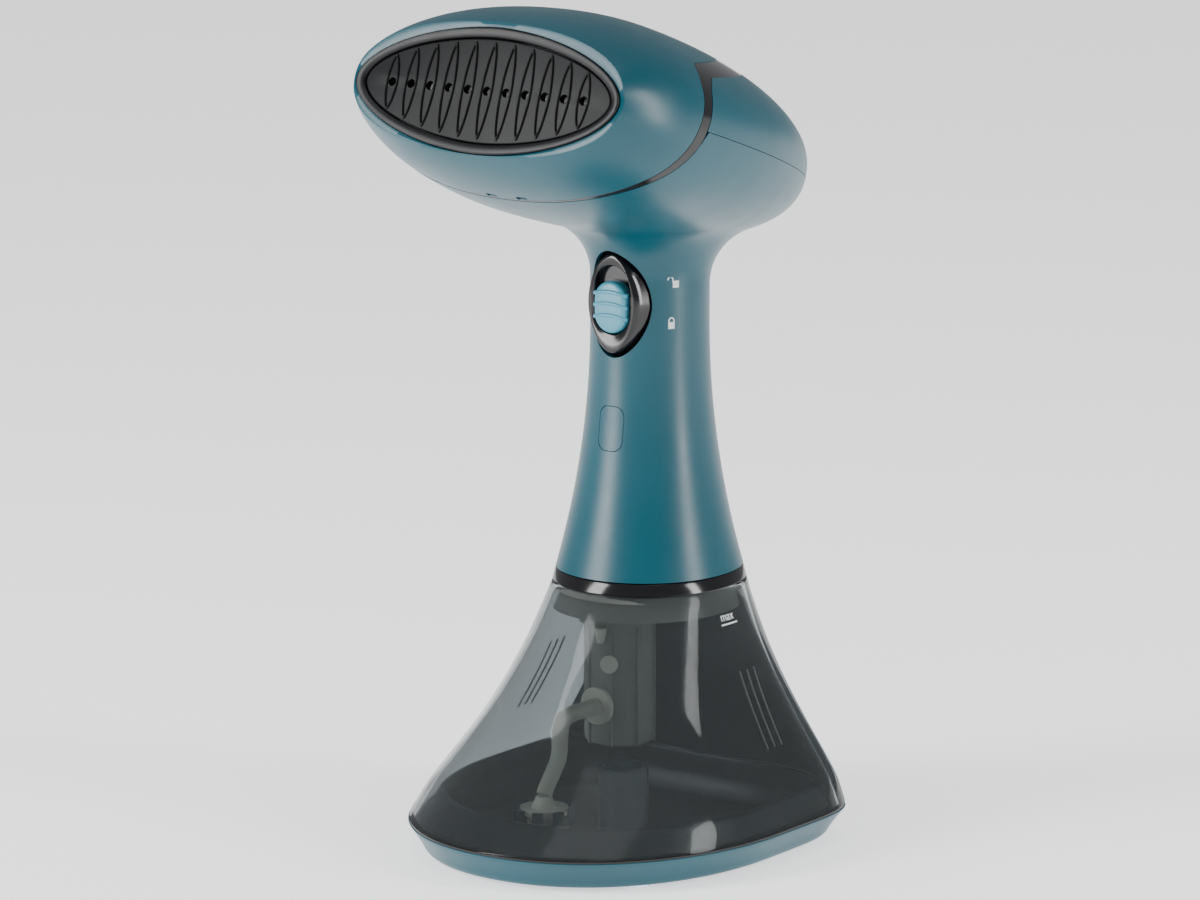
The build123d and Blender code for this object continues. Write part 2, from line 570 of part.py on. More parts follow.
def make_face():
    rim = face_prism(PLATE_HALF_WIDTH + RIM_WIDTH, PLATE_HALF_HEIGHT + RIM_WIDTH, -0.6, RIM_DEPTH)
    edge = [e for e in rim.edges() if (e.center() - FACE.origin).dot(FACE.z_dir) > 0.5]
    rim = rim.fillet(0.9, edge)
    rim = rim - face_prism(PLATE_HALF_WIDTH + CLEAR / 2, PLATE_HALF_HEIGHT + CLEAR / 2, -2, 3.4)
    rim = rim - face_prism(PLATE_HALF_WIDTH - 1.6, PLATE_HALF_HEIGHT - 1.6, 3, RIM_DEPTH + 1)
    add("plate_rim", rim)

    plate = face_prism(PLATE_HALF_WIDTH, PLATE_HALF_HEIGHT, 0.5, 0.5 + PLATE_THICK)
    first = -(HOLE_COUNT - 1) / 2 * HOLE_PITCH
    for i in range(HOLE_COUNT):
        x = first + i * HOLE_PITCH
        plate = plate.fuse(steam_ridge(x))
    for i in range(HOLE_COUNT):
        x = first + i * HOLE_PITCH
        bore = cylinder(HOLE_RADIUS, (x, 0, -8), (0, 0, 1), 12)
        plate = plate - in_face(bore)
    add("steam_plate", plate)


def steam_ridge(x):
    """A leaf-shaped raised line round one steam hole, as long as the plate allows there."""
    room = 0.93 * PLATE_HALF_HEIGHT * (1 - abs(x / PLATE_HALF_WIDTH) ** 1.9) ** 0.57
    half_width = 0.30 * HOLE_PITCH
    leaf = leaf_prism(x, room, half_width) - leaf_prism(x, room - 1.2, half_width - RIDGE_WIDTH)
    return in_face(leaf)


def leaf_prism(x, half_length, half_width):
    wire = oval(Plane(origin=(x, 0, -0.7)), half_width, half_length, half_length, 1.6, count=24)
    return prism(wire, (0, 0, 0.2 + RIDGE_HEIGHT))


def make_chamber():
    top = 0.5 + PLATE_THICK + 1.0
    gasket = face_prism(CHAMBER_HALF_WIDTH, CHAMBER_HALF_HEIGHT, 0.5 + PLATE_THICK, top)
    add("chamber_gasket", gasket - face_prism(CHAMBER_HALF_WIDTH - 3, CHAMBER_HALF_HEIGHT - 3, 0, 9))
    base = top + CHAMBER_DEPTH
    chamber = face_prism(CHAMBER_HALF_WIDTH, CHAMBER_HALF_HEIGHT, top, base)
    cavity = face_prism(CHAMBER_HALF_WIDTH - CHAMBER_WALL, CHAMBER_HALF_HEIGHT - CHAMBER_WALL, top - 1, base - 6.0)
    heater = heater_tube(base - 3.2)
    add("steam_chamber", chamber - cavity - heater)
    add("heater_element", heater)
    lid = face_prism(CHAMBER_HALF_WIDTH, CHAMBER_HALF_HEIGHT, base, base + LID_THICK)
    lugs = []
    for x, y in ((-30, 5.5), (30, 5.5), (-30, -5.5), (30, -5.5)):
        lugs.append(in_face(cylinder(2.6, (x, y, -base - LID_THICK - 1.6), (0, 0, 1), 1.6)))
        lid = lid - in_face(cylinder(1.5, (x, y, -base - LID_THICK - 1), (0, 0, 1), LID_THICK + 2))
    shanks = [in_face(cylinder(1.4, (x, y, -base - LID_THICK), (0, 0, 1), LID_THICK)) for x, y in
              ((-30, 5.5), (30, 5.5), (-30, -5.5), (30, -5.5))]
    inlet = in_face(cylinder(2.4, (INLET_X, 0, -base - LID_THICK - 7.0), (0, 0, 1), 7.2))
    lid = lid.fuse(inlet) - in_face(cylinder(1.2, (INLET_X, 0, -base - LID_THICK - 9.0), (0, 0, 1), 14))
    add("chamber_lid", lid)
    add("chamber_screws", *[a.fuse(b) for a, b in zip(lugs, shanks)])
    add("thermostat", in_face(cylinder(7.5, (14, 0, -base - LID_THICK - 6.0), (0, 0, 1), 6.0)))
    fuse = in_face(cylinder(2.2, (-2.0, 6.5, -base - LID_THICK - 2.2), (-1, 0, 0), 18.0))
    add("thermal_fuse", fuse)
    return base + LID_THICK


INLET_X = -10.0
FEED_X = -8.5


def heater_tube(depth):
    """A U-shaped heater cast into the back of the chamber."""
    reach, gap = CHAMBER_HALF_WIDTH - 12.0, 5.4
    plane = Plane(origin=(0, 0, -depth))
    points = [plane.from_local_coords(Vector(-reach, gap, 0)), plane.from_local_coords(Vector(reach, gap, 0)),
              plane.from_local_coords(Vector(reach, -gap, 0)), plane.from_local_coords(Vector(-reach, -gap, 0))]
    return in_face(tube(points, HEATER_TUBE / 2 + 0.6, gap * 0.95))


def make_feed(pump_y, pump_top, lid_depth):
    """The silicone tube from the pump outlet up into the head and on to the chamber lid."""
    end = FACE.from_local_coords(Vector(INLET_X, 0, -lid_depth - 2.0))
    back = FACE.from_local_coords(Vector(INLET_X, 0, -lid_depth - 22.0))
    rear_y = pump_y + 4.3
    points = [(0, pump_y, pump_top - 4.0), (0, pump_y, pump_top), (FEED_X, rear_y, pump_top + 12.0),
              (FEED_X, rear_y, Z_NECK + 4.0), (INLET_X, back.Y + 28, Z_NECK + 32.0), back, end]
    path_radii = [5.0, 9.0, 14.0, 16.0, 12.0]
    outer = tube(points, 3.2, path_radii)
    add("feed_tube", outer - tube(points, 2.45, path_radii))


# ---- tank ----
def tank_outline(share, side, front, inset, rear_inset):
    z = Z_TANK_TOP + (Z_SEAM - Z_TANK_TOP) * share
    top_wide = HANDLE_FOOT_RADIUS * SECTION_WIDE + COLLAR_FLARE
    top_deep = HANDLE_FOOT_RADIUS * SECTION_DEEP + COLLAR_FLARE
    wide = top_wide + (BASE_HALF_WIDTH - top_wide) * side
    middle = HANDLE_Y + (BASE_MID_Y - HANDLE_Y) * side
    front_y = HANDLE_Y - top_deep + (-BASE_FRONT - HANDLE_Y + top_deep) * front
    rear_y = HANDLE_Y + top_deep + (BASE_REAR - HANDLE_Y - top_deep) * share
    return oval(level(z, middle), wide - inset, rear_y - middle - rear_inset, middle - front_y - inset,
                2.1 + REAR_BOXINESS * side, 2.1, count=48)


def tank_skin(inset, rear_inset=None, shares=FLARE):
    rear_inset = inset if rear_inset is None else rear_inset
    wires = [tank_outline(*row, inset, rear_inset) for row in shares]
    return Solid.make_loft(wires)


def band_between(solid, z0, z1):
    return solid & block(-FAR, FAR, -FAR, FAR, z0, z1)


def rear_zone(margin):
    """Everything behind the slanting line where the rear panel begins."""
    top_deep = HANDLE_FOOT_RADIUS * SECTION_DEEP + COLLAR_FLARE
    y_top = HANDLE_Y + top_deep - PANEL_WRAP_TOP + margin
    y_bottom = BASE_REAR - PANEL_WRAP_BOTTOM + margin
    plane = Plane(origin=(0, 0, 0), x_dir=(0, 1, 0), z_dir=(1, 0, 0))
    slope = (y_top - y_bottom) / (Z_TANK_TOP - Z_SEAM)
    low, high = -50.0, 50.0
    return side_profile([(y_bottom + slope * low, Z_SEAM + low), (y_top + slope * high, Z_TANK_TOP + high),
                         (FAR, Z_TANK_TOP + high), (FAR, Z_SEAM + low)], plane)


def make_tank():
    skin = tank_skin(0)
    behind = rear_zone(0)
    inner_step = PANEL_WALL + 0.3
    stepped = (skin - behind).fuse(tank_skin(inner_step) & behind)
    hollow_front = tank_skin(TANK_WALL) - rear_zone(-TANK_WALL)
    hollow_rear = tank_skin(inner_step + TANK_WALL) & rear_zone(-TANK_WALL - 0.01)
    hollow = hollow_front.fuse(hollow_rear)
    shell = band_between(stepped - hollow, Z_SHELL, Z_TANK_TOP)
    add("tank_shell", shell)
    panel = (skin - tank_skin(PANEL_WALL)) & rear_zone(0.3)
    panel = band_between(panel, Z_SHELL, Z_TANK_TOP)
    add("rear_panel", max(panel.solids(), key=lambda s: s.volume))
    return hollow


def make_base():
    seam = tank_outline(1, 1, 1, 0, 0)
    tucked = oval(level(Z_TRAY, BASE_MID_Y), BASE_HALF_WIDTH - TRAY_TUCK, BASE_REAR - BASE_MID_Y - TRAY_TUCK,
                  BASE_MID_Y + BASE_FRONT - TRAY_TUCK, 2.1 + REAR_BOXINESS, 2.1, count=48)
    tray = Solid.make_loft([tucked, seam], ruled=True)
    low_edge = [e for e in tray.edges() if e.bounding_box().max.Z < Z_TRAY + 0.01]
    tray = tray.fillet(1.4, low_edge)
    step = TANK_WALL + PANEL_WALL + 0.6
    upstand = band_between(tank_skin(step, step), Z_SEAM - 0.5, Z_SEAM + UPSTAND_HEIGHT)
    rise = tank_skin(step + TRAY_WALL)
    hollow = band_between(rise, Z_SEAM, Z_SEAM + UPSTAND_HEIGHT + 1)
    pit = oval(level(Z_TRAY + TRAY_WALL, BASE_MID_Y), BASE_HALF_WIDTH - step - TRAY_WALL - 2,
               BASE_REAR - BASE_MID_Y - step - TRAY_WALL - 2, BASE_MID_Y + BASE_FRONT - step - TRAY_WALL - 2,
               2.1 + REAR_BOXINESS, 2.1, count=48)
    pit = prism(pit, (0, 0, BASE_HEIGHT - TRAY_WALL + 0.01))
    tray = tray.fuse(upstand) - hollow - pit
    for x, y in foot_places():
        tray = tray - cylinder(FOOT_RADIUS + 0.1, (x, y, 0), (0, 0, 1), FOOT_HEIGHT + FOOT_SINK - 1.0)
    add("base_tray", tray)
    feet = []
    for x, y in foot_places():
        foot = cylinder(FOOT_RADIUS, (x, y, 0), (0, 0, 1), FOOT_HEIGHT + FOOT_SINK - 1.0)
        bottom = [e for e in foot.edges() if e.center().Z < 0.01]
        feet.append(foot.fillet(0.6, bottom))
    add("feet", *feet)

    outer = prism(tank_outline(1, 1, 1, 0.4, 0.4), (0, 0, GASKET))
    inner = prism(tank_outline(1, 1, 1, step + CLEAR / 2, step + CLEAR / 2), (0, 0, GASKET))
    add("base_gasket", outer - inner)


def foot_places():
    return [(side * (BASE_HALF_WIDTH - FOOT_SIDE), y) for y in (FOOT_FRONT - BASE_FRONT, BASE_REAR - FOOT_REAR) for side in (1, -1)]


FLOOR = Z_TRAY + TRAY_WALL
PLATE_Z = Z_TANK_TOP - 2.4
CAP_Y = HANDLE_Y + 11.0
CAP_RADIUS = 6.5


def make_tank_top(hollow):
    lid = band_between(hollow, PLATE_Z, Z_TANK_TOP)
    lid = lid & tank_skin(TANK_WALL + 0.1, TANK_WALL + PANEL_WALL + 0.4)
    skirt_out = band_between(tank_skin(TANK_WALL + 1.6, TANK_WALL + PANEL_WALL + 2.0), PLATE_Z - 6.0, PLATE_Z + 0.5)
    skirt_in = band_between(tank_skin(TANK_WALL + 3.2, TANK_WALL + PANEL_WALL + 3.6), PLATE_Z - 7.0, PLATE_Z)
    round_column = cylinder(SLEEVE_RADIUS + CLEAR, (0, COLUMN_Y, PLATE_Z - 20), (0, 0, 1), 20)
    lid = lid.fuse(skirt_out - skirt_in - round_column)
    neck = ring(NECK_RADIUS, NECK_RADIUS - 1.8, (0, HANDLE_Y, Z_TANK_TOP - 0.2), (0, 0, 1), 9.0)
    beads = [block(-7, 7, HANDLE_Y + side * (NECK_RADIUS + 0.1) - 0.7, HANDLE_Y + side * (NECK_RADIUS + 0.1) + 0.7,
                   Z_TANK_TOP + 6.0, Z_TANK_TOP + 7.4) for side in (-1, 1)]
    port = cylinder(PORT_RADIUS + 1.8, (0, PORT_Y, PLATE_Z), (0, 0, 1), 9.5)
    lid = lid.fuse(neck, port, *beads)
    lid = lid - cylinder(PORT_RADIUS, (0, PORT_Y, PLATE_Z - 10), (0, 0, 1), 30)
    lid = lid - cylinder(CAP_RADIUS - 1.3, (0, CAP_Y, PLATE_Z - 1), (0, 0, 1), 6)
    add("tank_top", lid)
    stopper = cylinder(CAP_RADIUS + 1.2, (0, CAP_Y, Z_TANK_TOP), (0, 0, 1), 1.6)
    stopper = stopper.fuse(cylinder(CAP_RADIUS - 1.5, (0, CAP_Y, PLATE_Z - 2.0), (0, 0, 1), 4.6))
    tab = block(-2.5, 2.5, CAP_Y + CAP_RADIUS - 1.0, CAP_Y + CAP_RADIUS + 4.0, Z_TANK_TOP, Z_TANK_TOP + 1.6)
    add("fill_stopper", stopper.fuse(tab))


def make_column():
    top = PLATE_Z - 0.02
    height = top - COLUMN_BOTTOM
    column = cylinder(COLUMN_RADIUS, (0, COLUMN_Y, COLUMN_BOTTOM), (0, 0, 1), height)
    ribs = []
    for k in range(8):
        angle = 2 * pi * (k + 0.5) / 8
        rib = Solid.make_box(COLUMN_RIB + 0.3, 1.0, height, Plane(origin=(0, 0, COLUMN_BOTTOM)))
        rib = Pos(0, COLUMN_Y, 0) * (Rot(0, 0, degrees(angle)) * (Pos(COLUMN_RADIUS - 0.3, -0.5, 0) * rib))
        ribs.append(rib)
    column = column.fuse(*ribs)
    column = column - cylinder(COLUMN_RADIUS - COLUMN_WALL, (0, COLUMN_Y, COLUMN_BOTTOM + 2.0), (0, 0, 1), height)
    bore = cylinder(1.6, (0, COLUMN_Y - COLUMN_RADIUS - 3, ELBOW_HEIGHT), (0, 1, 0), 8)
    add("column", column - bore)
    step = ring(SLEEVE_RADIUS, COLUMN_RADIUS + COLUMN_RIB + 0.1, (0, COLUMN_Y, top - SLEEVE_HEIGHT), (0, 0, 1), SLEEVE_HEIGHT)
    add("column_sleeve", step)

    front = COLUMN_Y - COLUMN_RADIUS
    add("hose_flange", ring(6.4, 3.1, (0, front - 2.3, ELBOW_HEIGHT), (0, 1, 0), 1.5))
    spout = cylinder(3.0, (0, front - 4.2, ELBOW_HEIGHT), (0, 1, 0), 4.15)
    spout = spout.fuse(cylinder(HOSE_RADIUS, (0, front - 7.6, ELBOW_HEIGHT), (0, 1, 0), 4.0))
    add("hose_spout", spout - cylinder(1.1, (0, front - 9, ELBOW_HEIGHT), (0, 1, 0), 9.5))
    vent = Solid.make_cone(2.2, 1.2, 5.0, Plane(origin=(2.5, COLUMN_Y - SLEEVE_RADIUS - 0.6, top - SLEEVE_HEIGHT), z_dir=(0, 0, -1)))
    add("vent_nipple", vent)
    angle = radians(20)
    reach = COLUMN_RADIUS + COLUMN_RIB + 0.05
    at = (reach * sin(angle), COLUMN_Y - reach * cos(angle), ELBOW_HEIGHT + 14.6)
    add("vent_disc", cylinder(3.0, at, (sin(angle), -cos(angle), 0), 1.2))


def make_hose():
    front = COLUMN_Y - COLUMN_RADIUS
    crown_top = FLOOR + 19.0
    start = front - 4.35
    points = [(0, start, ELBOW_HEIGHT), (0, HOSE_BEND_Y, ELBOW_HEIGHT - 0.5),
              (0, HOSE_BEND_Y - 2.0, crown_top + 11.0), (0, FILTER_Y, crown_top + 1.6)]
    hose = tube(points, HOSE_RADIUS + 0.9, [7.0, 9.0], bore=HOSE_RADIUS - 0.6)
    hose = hose - cylinder(HOSE_RADIUS + 0.08, (0, start - 3.9, ELBOW_HEIGHT), (0, 1, 0), 4.4)
    nipple = Solid.make_cone(4.2, 2.6, 3.6, Plane(origin=(0, FILTER_Y, crown_top - 3.0)))
    add("suction_hose", hose - nipple)
    cup = cylinder(FILTER_RADIUS + 2.0, (0, FILTER_Y, FLOOR), (0, 0, 1), crown_top - FLOOR - 3.0)
    cup = cup - cylinder(FILTER_RADIUS + 0.4, (0, FILTER_Y, FLOOR + 8.0), (0, 0, 1), 40)
    for k in range(8):
        gap = Solid.make_box(6, 4.2, 6.0, Plane(origin=(FILTER_RADIUS - 2, -2.1, crown_top - 8.4)))
        cup = cup - Pos(0, FILTER_Y, 0) * (Rot(0, 0, 45 * k) * gap)
    add("filter_crown", cup)
    disc = cylinder(FILTER_RADIUS, (0, FILTER_Y, crown_top - 5.0), (0, 0, 1), 2.0)
    add("inlet_filter", disc.fuse(cylinder(FILTER_RADIUS - 2.5, (0, FILTER_Y, FLOOR + 8.2), (0, 0, 1), crown_top - FLOOR - 13.0)))
    add("filter_nipple", nipple)
    socket_y = COLUMN_Y + 2.0
    socket = ring(8.5, 6.9, (0, socket_y, FLOOR), (0, 0, 1), 20.8)
    add("drain_socket", socket)


def make_all():
    housing, handle_wall, cavity = make_housings()
    make_handle(housing, handle_wall, cavity)
    make_trigger()
    make_switch()
    floor_top = make_collar(cavity)
    pump_y, pump_top = make_pump(floor_top)
    make_board()
    make_face()
    lid_depth = make_chamber()
    make_feed(pump_y, pump_top, lid_depth)
    hollow = make_tank()
    make_base()
    make_tank_top(hollow)
    make_column()
    make_hose()


make_all()
os.makedirs("parts", exist_ok=True)
for name, solids in NODES.items():
    shape = solids[0] if len(solids) == 1 else Compound(solids)
    export_step(shape, f"parts/{name}.step")
    print(name, len(solids), [s.is_valid for s in solids if not s.is_valid], round(sum(s.volume for s in solids)))
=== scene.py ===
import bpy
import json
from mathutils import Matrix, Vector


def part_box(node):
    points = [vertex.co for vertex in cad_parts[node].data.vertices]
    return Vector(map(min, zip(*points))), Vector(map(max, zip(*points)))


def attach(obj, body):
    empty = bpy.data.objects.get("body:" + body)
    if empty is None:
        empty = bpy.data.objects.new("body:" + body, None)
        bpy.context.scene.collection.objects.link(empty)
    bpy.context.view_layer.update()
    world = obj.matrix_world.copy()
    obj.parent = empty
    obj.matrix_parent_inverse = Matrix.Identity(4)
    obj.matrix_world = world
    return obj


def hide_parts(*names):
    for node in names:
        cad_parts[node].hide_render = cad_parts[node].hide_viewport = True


bl_info = {
    "name": "Garment steamer",
    "version": (1, 0, 0),
    "blender": (4, 5, 0),
    "location": "View3D > Sidebar > Steamer",
    "description": "Builds a hand-held garment steamer standing on its see-through water tank",
    "category": "Object",
}

import json
from math import asin, atan2, cos, pi, radians, sin, sqrt

import bmesh
import bpy
from mathutils import Matrix, Vector

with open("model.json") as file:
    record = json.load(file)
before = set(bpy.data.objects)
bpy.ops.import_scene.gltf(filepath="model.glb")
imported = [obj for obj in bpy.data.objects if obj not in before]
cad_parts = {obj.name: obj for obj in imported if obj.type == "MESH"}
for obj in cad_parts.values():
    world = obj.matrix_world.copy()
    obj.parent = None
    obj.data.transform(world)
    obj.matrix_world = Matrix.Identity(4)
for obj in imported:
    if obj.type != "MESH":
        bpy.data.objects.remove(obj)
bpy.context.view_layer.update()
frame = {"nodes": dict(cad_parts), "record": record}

# Lengths below are millimetres and become metres when a mesh is made.
MM = 0.001
GAP = 0.12

# ---- levels, read from the frame ----
def low(node):
    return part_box(node)[0] / MM


def high(node):
    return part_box(node)[1] / MM


Z_TRAY = low("base_tray").z
Z_SEAM = low("base_gasket").z
Z_SHELL = low("tank_shell").z
Z_TANK_TOP = high("tank_shell").z
Z_COLLAR = low("collar_ring").z
Z_HANDLE = low("main_housing").z
Z_NECK = Z_HANDLE + 114.5
TRIGGER_MIDDLE = Z_NECK - 23.2
LENS_MIDDLE = (low("indicator_lens").z + high("indicator_lens").z) / 2

# ---- handle ----
HANDLE_Y = 17.5
GRIP_RADIUS = 19.9
FOOT_RADIUS = 31.4
HANDLE_LENGTH = 114.5
TAPER_SHARE = 0.72
WIDE, DEEP = 0.965, 1.035
HANDLE_POWER = 2.08
COLLAR_FLARE = 1.1
NECK_FILLET = 19.0

# ---- head, along its axis from the front opening ----
HEAD_TILT = 17.2
HEAD_LENGTH = 159.0
HEAD_POWER = 2.2
WIDEST, WIDEST_AT = 62.0, 29.9
HIGHEST, HIGHEST_AT = 33.8, 42.8
LOWEST, LOWEST_AT = 34.2, 48.0
SPLIT = -1.2
SHELL_WALL = 2.0
AXIS = Vector((0, cos(radians(HEAD_TILT)), -sin(radians(HEAD_TILT))))
RISE = Vector((0, sin(radians(HEAD_TILT)), cos(radians(HEAD_TILT))))
HEAD_FRONT = Vector((0, HANDLE_Y - 90.0, Z_NECK + 55.3))

# ---- steam plate ----
PLATE_TILT = 19.8
PLATE_WIDE, PLATE_HIGH = 48.8, 17.2
PLATE_POWER = 1.83
RIM_WIDTH = 3.4
LIP = 1.0
FACE_WIDE, FACE_HIGH = PLATE_WIDE + RIM_WIDTH + LIP, PLATE_HIGH + RIM_WIDTH + LIP
FACE_OUT = Vector((0, -cos(radians(PLATE_TILT)), sin(radians(PLATE_TILT))))
FACE_UP = Vector((0, sin(radians(PLATE_TILT)), cos(radians(PLATE_TILT))))

# ---- tank ----
BASE_WIDE, BASE_FRONT, BASE_REAR, BASE_MIDDLE = 65.2, 77.5, 56.6, 1.8
BOXINESS = 3.4
TANK_WALL = 2.4
PANEL_WALL = 2.0
WRAP_TOP, WRAP_BOTTOM = 13.5, 11.5
# share of the height from the collar, share of the side flare, share of the front flare
FLARE = [(0.0, 0.0, 0.0), (0.09, 0.05, 0.075), (0.27, 0.18, 0.21), (0.445, 0.35, 0.35),
         (0.625, 0.57, 0.50), (0.80, 0.81, 0.70), (0.89, 0.92, 0.83), (1.0, 1.0, 1.0)]

# trim band edges in the side view: (along the head axis, above the head axis)
BAND_FRONT = [(22.3, -31.0), (22.4, -27.5), (23.6, -22.5), (25.9, -17.0), (28.4, -10.5),
              (30.6, -4.5), (32.6, 2.0), (33.9, 8.5), (34.6, 14.5), (37.2, 20.3)]
BAND_REAR = [(23.3, -31.0), (23.8, -27.5), (26.0, -22.5), (29.2, -17.0), (32.6, -10.5),
             (35.3, -4.5), (37.3, 2.0), (38.5, 8.5), (39.8, 12.8), (43.4, 17.0)]
CHEVRON_FRONT = (96.0, 31.8)
CHEVRON_REAR = (112.0, 29.6)


# ---- settings shown in the panel ----
def colour(name, about, default):
    return bpy.props.FloatVectorProperty(name=name, description=about, default=default, size=4,
                                         subtype="COLOR", min=0.0, max=1.0)


class SteamerColours(bpy.types.PropertyGroup):
    teal: colour("Body", "Moulded body shells", (0.0012, 0.060, 0.085, 1.0))
    light_teal: colour("Slider", "Lock slider on the trigger", (0.045, 0.235, 0.320, 1.0))
    dark_teal: colour("Tank fittings", "Fittings on the tank floor", (0.006, 0.045, 0.055, 1.0))
    black: colour("Black trim", "Band, collar and trigger", (0.004, 0.004, 0.005, 1.0))
    charcoal: colour("Steam plate", "Coated steam plate", (0.007, 0.0075, 0.008, 1.0))
    smoke: colour("Smoke", "See-through tank wall", (0.37, 0.40, 0.41, 1.0))
    cream: colour("Water fittings", "Off-white fittings and hose", (0.62, 0.61, 0.50, 1.0))
    mark: colour("Printed marks", "Print on the tank and the handle", (0.62, 0.64, 0.65, 1.0))


class SteamerSizes(bpy.types.PropertyGroup):
    leaf_count: bpy.props.IntProperty(name="Steam holes", description="Holes and leaf ridges in the plate",
                                      default=11, min=3, max=21)
    leaf_pitch: bpy.props.FloatProperty(name="Hole pitch",
                                        description="Distance between holes, in millimetres",
                                        default=7.6, min=3.0, max=15.0)
    groove_count: bpy.props.IntProperty(name="Grip lines",
                                        description="Moulded lines on each side of the tank",
                                        default=3, min=0, max=8)
    groove_radius: bpy.props.FloatProperty(name="Grip line radius",
                                           description="Half width of a grip line, in metres",
                                           default=0.00042, min=0.0001, max=0.002, subtype="DISTANCE")
    column_ribs: bpy.props.IntProperty(name="Column ribs", description="Ribs round the column in the tank",
                                       default=8, min=0, max=24)
    crown_posts: bpy.props.IntProperty(name="Crown posts", description="Posts round the filter seat",
                                       default=8, min=3, max=24)


# ---- small geometry helpers ----
def signed_power(value, power):
    return (1 if value >= 0 else -1) * abs(value) ** power


def oval(t, wide, up, down, n_up, n_down=None):
    """A point on a superellipse whose upper and lower halves have their own size and power."""
    c, s = cos(t), sin(t)
    n, reach = (n_up, up) if s >= 0 else (n_down or n_up, down)
    return wide * signed_power(c, 2 / n), reach * signed_power(s, 2 / n)


def steps(count):
    return [i / (count - 1) for i in range(count)]


def turn_steps(count):
    return [2 * pi * i / count for i in range(count)]


def mix(a, b, share):
    return a + (b - a) * share


def smooth_line(points):
    """Extra points on a Catmull-Rom curve through the given ones, as (v -> u) samples sorted by v."""
    out = []
    last = len(points) - 1
    for i in range(last):
        p0, p1, p2, p3 = (points[max(min(k, last), 0)] for k in (i - 1, i, i + 1, i + 2))
        for k in range(12):
            w = k / 12
            out.append(tuple(0.5 * (2 * b + (c - a) * w + (2 * a - 5 * b + 4 * c - d) * w * w
                                    + (3 * b - a - 3 * c + d) * w ** 3) for a, b, c, d in zip(p0, p1, p2,
                                                                                              p3)))
    out.append(points[-1])
    return out


def lookup(table, key, key_index, value_index):
    """Linear reading of a finely sampled table."""
    if key <= table[0][key_index]:
        return table[0][value_index]
    for a, b in zip(table, table[1:]):
        if key <= b[key_index]:
            share = (key - a[key_index]) / max(b[key_index] - a[key_index], 1e-9)
            return mix(a[value_index], b[value_index], share)
    return table[-1][value_index]


def root_of(function, low_end, high_end):
    """Where a function crosses from below nought to above it."""
    for _ in range(40):
        middle = (low_end + high_end) / 2
        if function(middle) < 0:
            low_end = middle
        else:
            high_end = middle
    return (low_end + high_end) / 2


def resample(points, count):
    """Points at equal distances along a polyline."""
    lengths = [0.0]
    for a, b in zip(points, points[1:]):
        lengths.append(lengths[-1] + (b - a).length)
    out = []
    k = 0
    for share in steps(count):
        goal = share * lengths[-1]
        while k < len(points) - 2 and lengths[k + 1] < goal:
            k += 1
        part = (goal - lengths[k]) / max(lengths[k + 1] - lengths[k], 1e-9)
        out.append(points[k].lerp(points[k + 1], part))
    return out


# ---- mesh helpers ----
def new_object(name, vertices, faces, edges=()):
    """An object at the origin from millimetre points."""
    mesh = bpy.data.meshes.new(name)
    mesh.from_pydata([Vector(v) * MM for v in vertices], list(edges), faces)
    piece = bpy.data.objects.new(name, mesh)
    bpy.context.scene.collection.objects.link(piece)
    return piece


def weld(piece):
    """Merge doubles and point every face outwards."""
    work = bmesh.new()
    work.from_mesh(piece.data)
    bmesh.ops.remove_doubles(work, verts=work.verts, dist=2e-6)
    bmesh.ops.dissolve_degenerate(work, edges=work.edges, dist=1e-6)
    bmesh.ops.recalc_face_normals(work, faces=work.faces)
    work.to_mesh(piece.data)
    work.free()
    return piece


def grid(name, rows, close_rows=False, close_columns=False, cap_ends=False):
    """A mesh over rows of points, with each row optionally a closed ring."""
    wide = len(rows[0])
    points = [p for row in rows for p in row]
    faces = []
    for i in range(len(rows) if close_rows else len(rows) - 1):
        j = (i + 1) % len(rows)
        for k in range(wide if close_columns else wide - 1):
            m = (k + 1) % wide
            faces.append((i * wide + k, i * wide + m, j * wide + m, j * wide + k))
    if cap_ends:
        for i, flip in ((0, True), (len(rows) - 1, False)):
            centre = sum((Vector(p) for p in rows[i]), Vector()) / wide
            points.append(centre)
            hub = len(points) - 1
            for k in range(wide):
                m = (k + 1) % wide
                tri = (i * wide + k, i * wide + m, hub)
                faces.append(tri[::-1] if flip else tri)
    return weld(new_object(name, points, faces))


def apply_modifiers(piece):
    """Swap the mesh for its evaluated copy, so no modifier is left."""
    graph = bpy.context.evaluated_depsgraph_get()
    graph.update()
    mesh = bpy.data.meshes.new_from_object(piece.evaluated_get(graph))
    piece.modifiers.clear()
    piece.data = mesh
    return piece


def thicken(piece, wall):
    solid = piece.modifiers.new("Wall", "SOLIDIFY")
    solid.thickness = wall * MM
    solid.offset = -1
    solid.use_even_offset = True
    apply_modifiers(piece)
    return weld(piece)


def carve(piece, *cutters):
    for cutter in cutters:
        cut = piece.modifiers.new("Cut", "BOOLEAN")
        cut.operation = "DIFFERENCE"
        cut.solver = "EXACT"
        cut.object = cutter
    apply_modifiers(piece)
    for cutter in cutters:
        bpy.data.objects.remove(cutter)
    return piece


def keep_half(piece, point, normal):
    """Cut an open skin at a plane and keep the side the normal points to."""
    work = bmesh.new()
    work.from_mesh(piece.data)
    everything = work.verts[:] + work.edges[:] + work.faces[:]
    bmesh.ops.bisect_plane(work, geom=everything, plane_co=point * MM, plane_no=normal, clear_inner=True)
    work.to_mesh(piece.data)
    work.free()
    return piece


def join(name, objects):
    work = bmesh.new()
    for item in objects:
        work.from_mesh(item.data)
        bpy.data.objects.remove(item)
    mesh = bpy.data.meshes.new(name)
    work.to_mesh(mesh)
    work.free()
    piece = bpy.data.objects.new(name, mesh)
    bpy.context.scene.collection.objects.link(piece)
    return piece


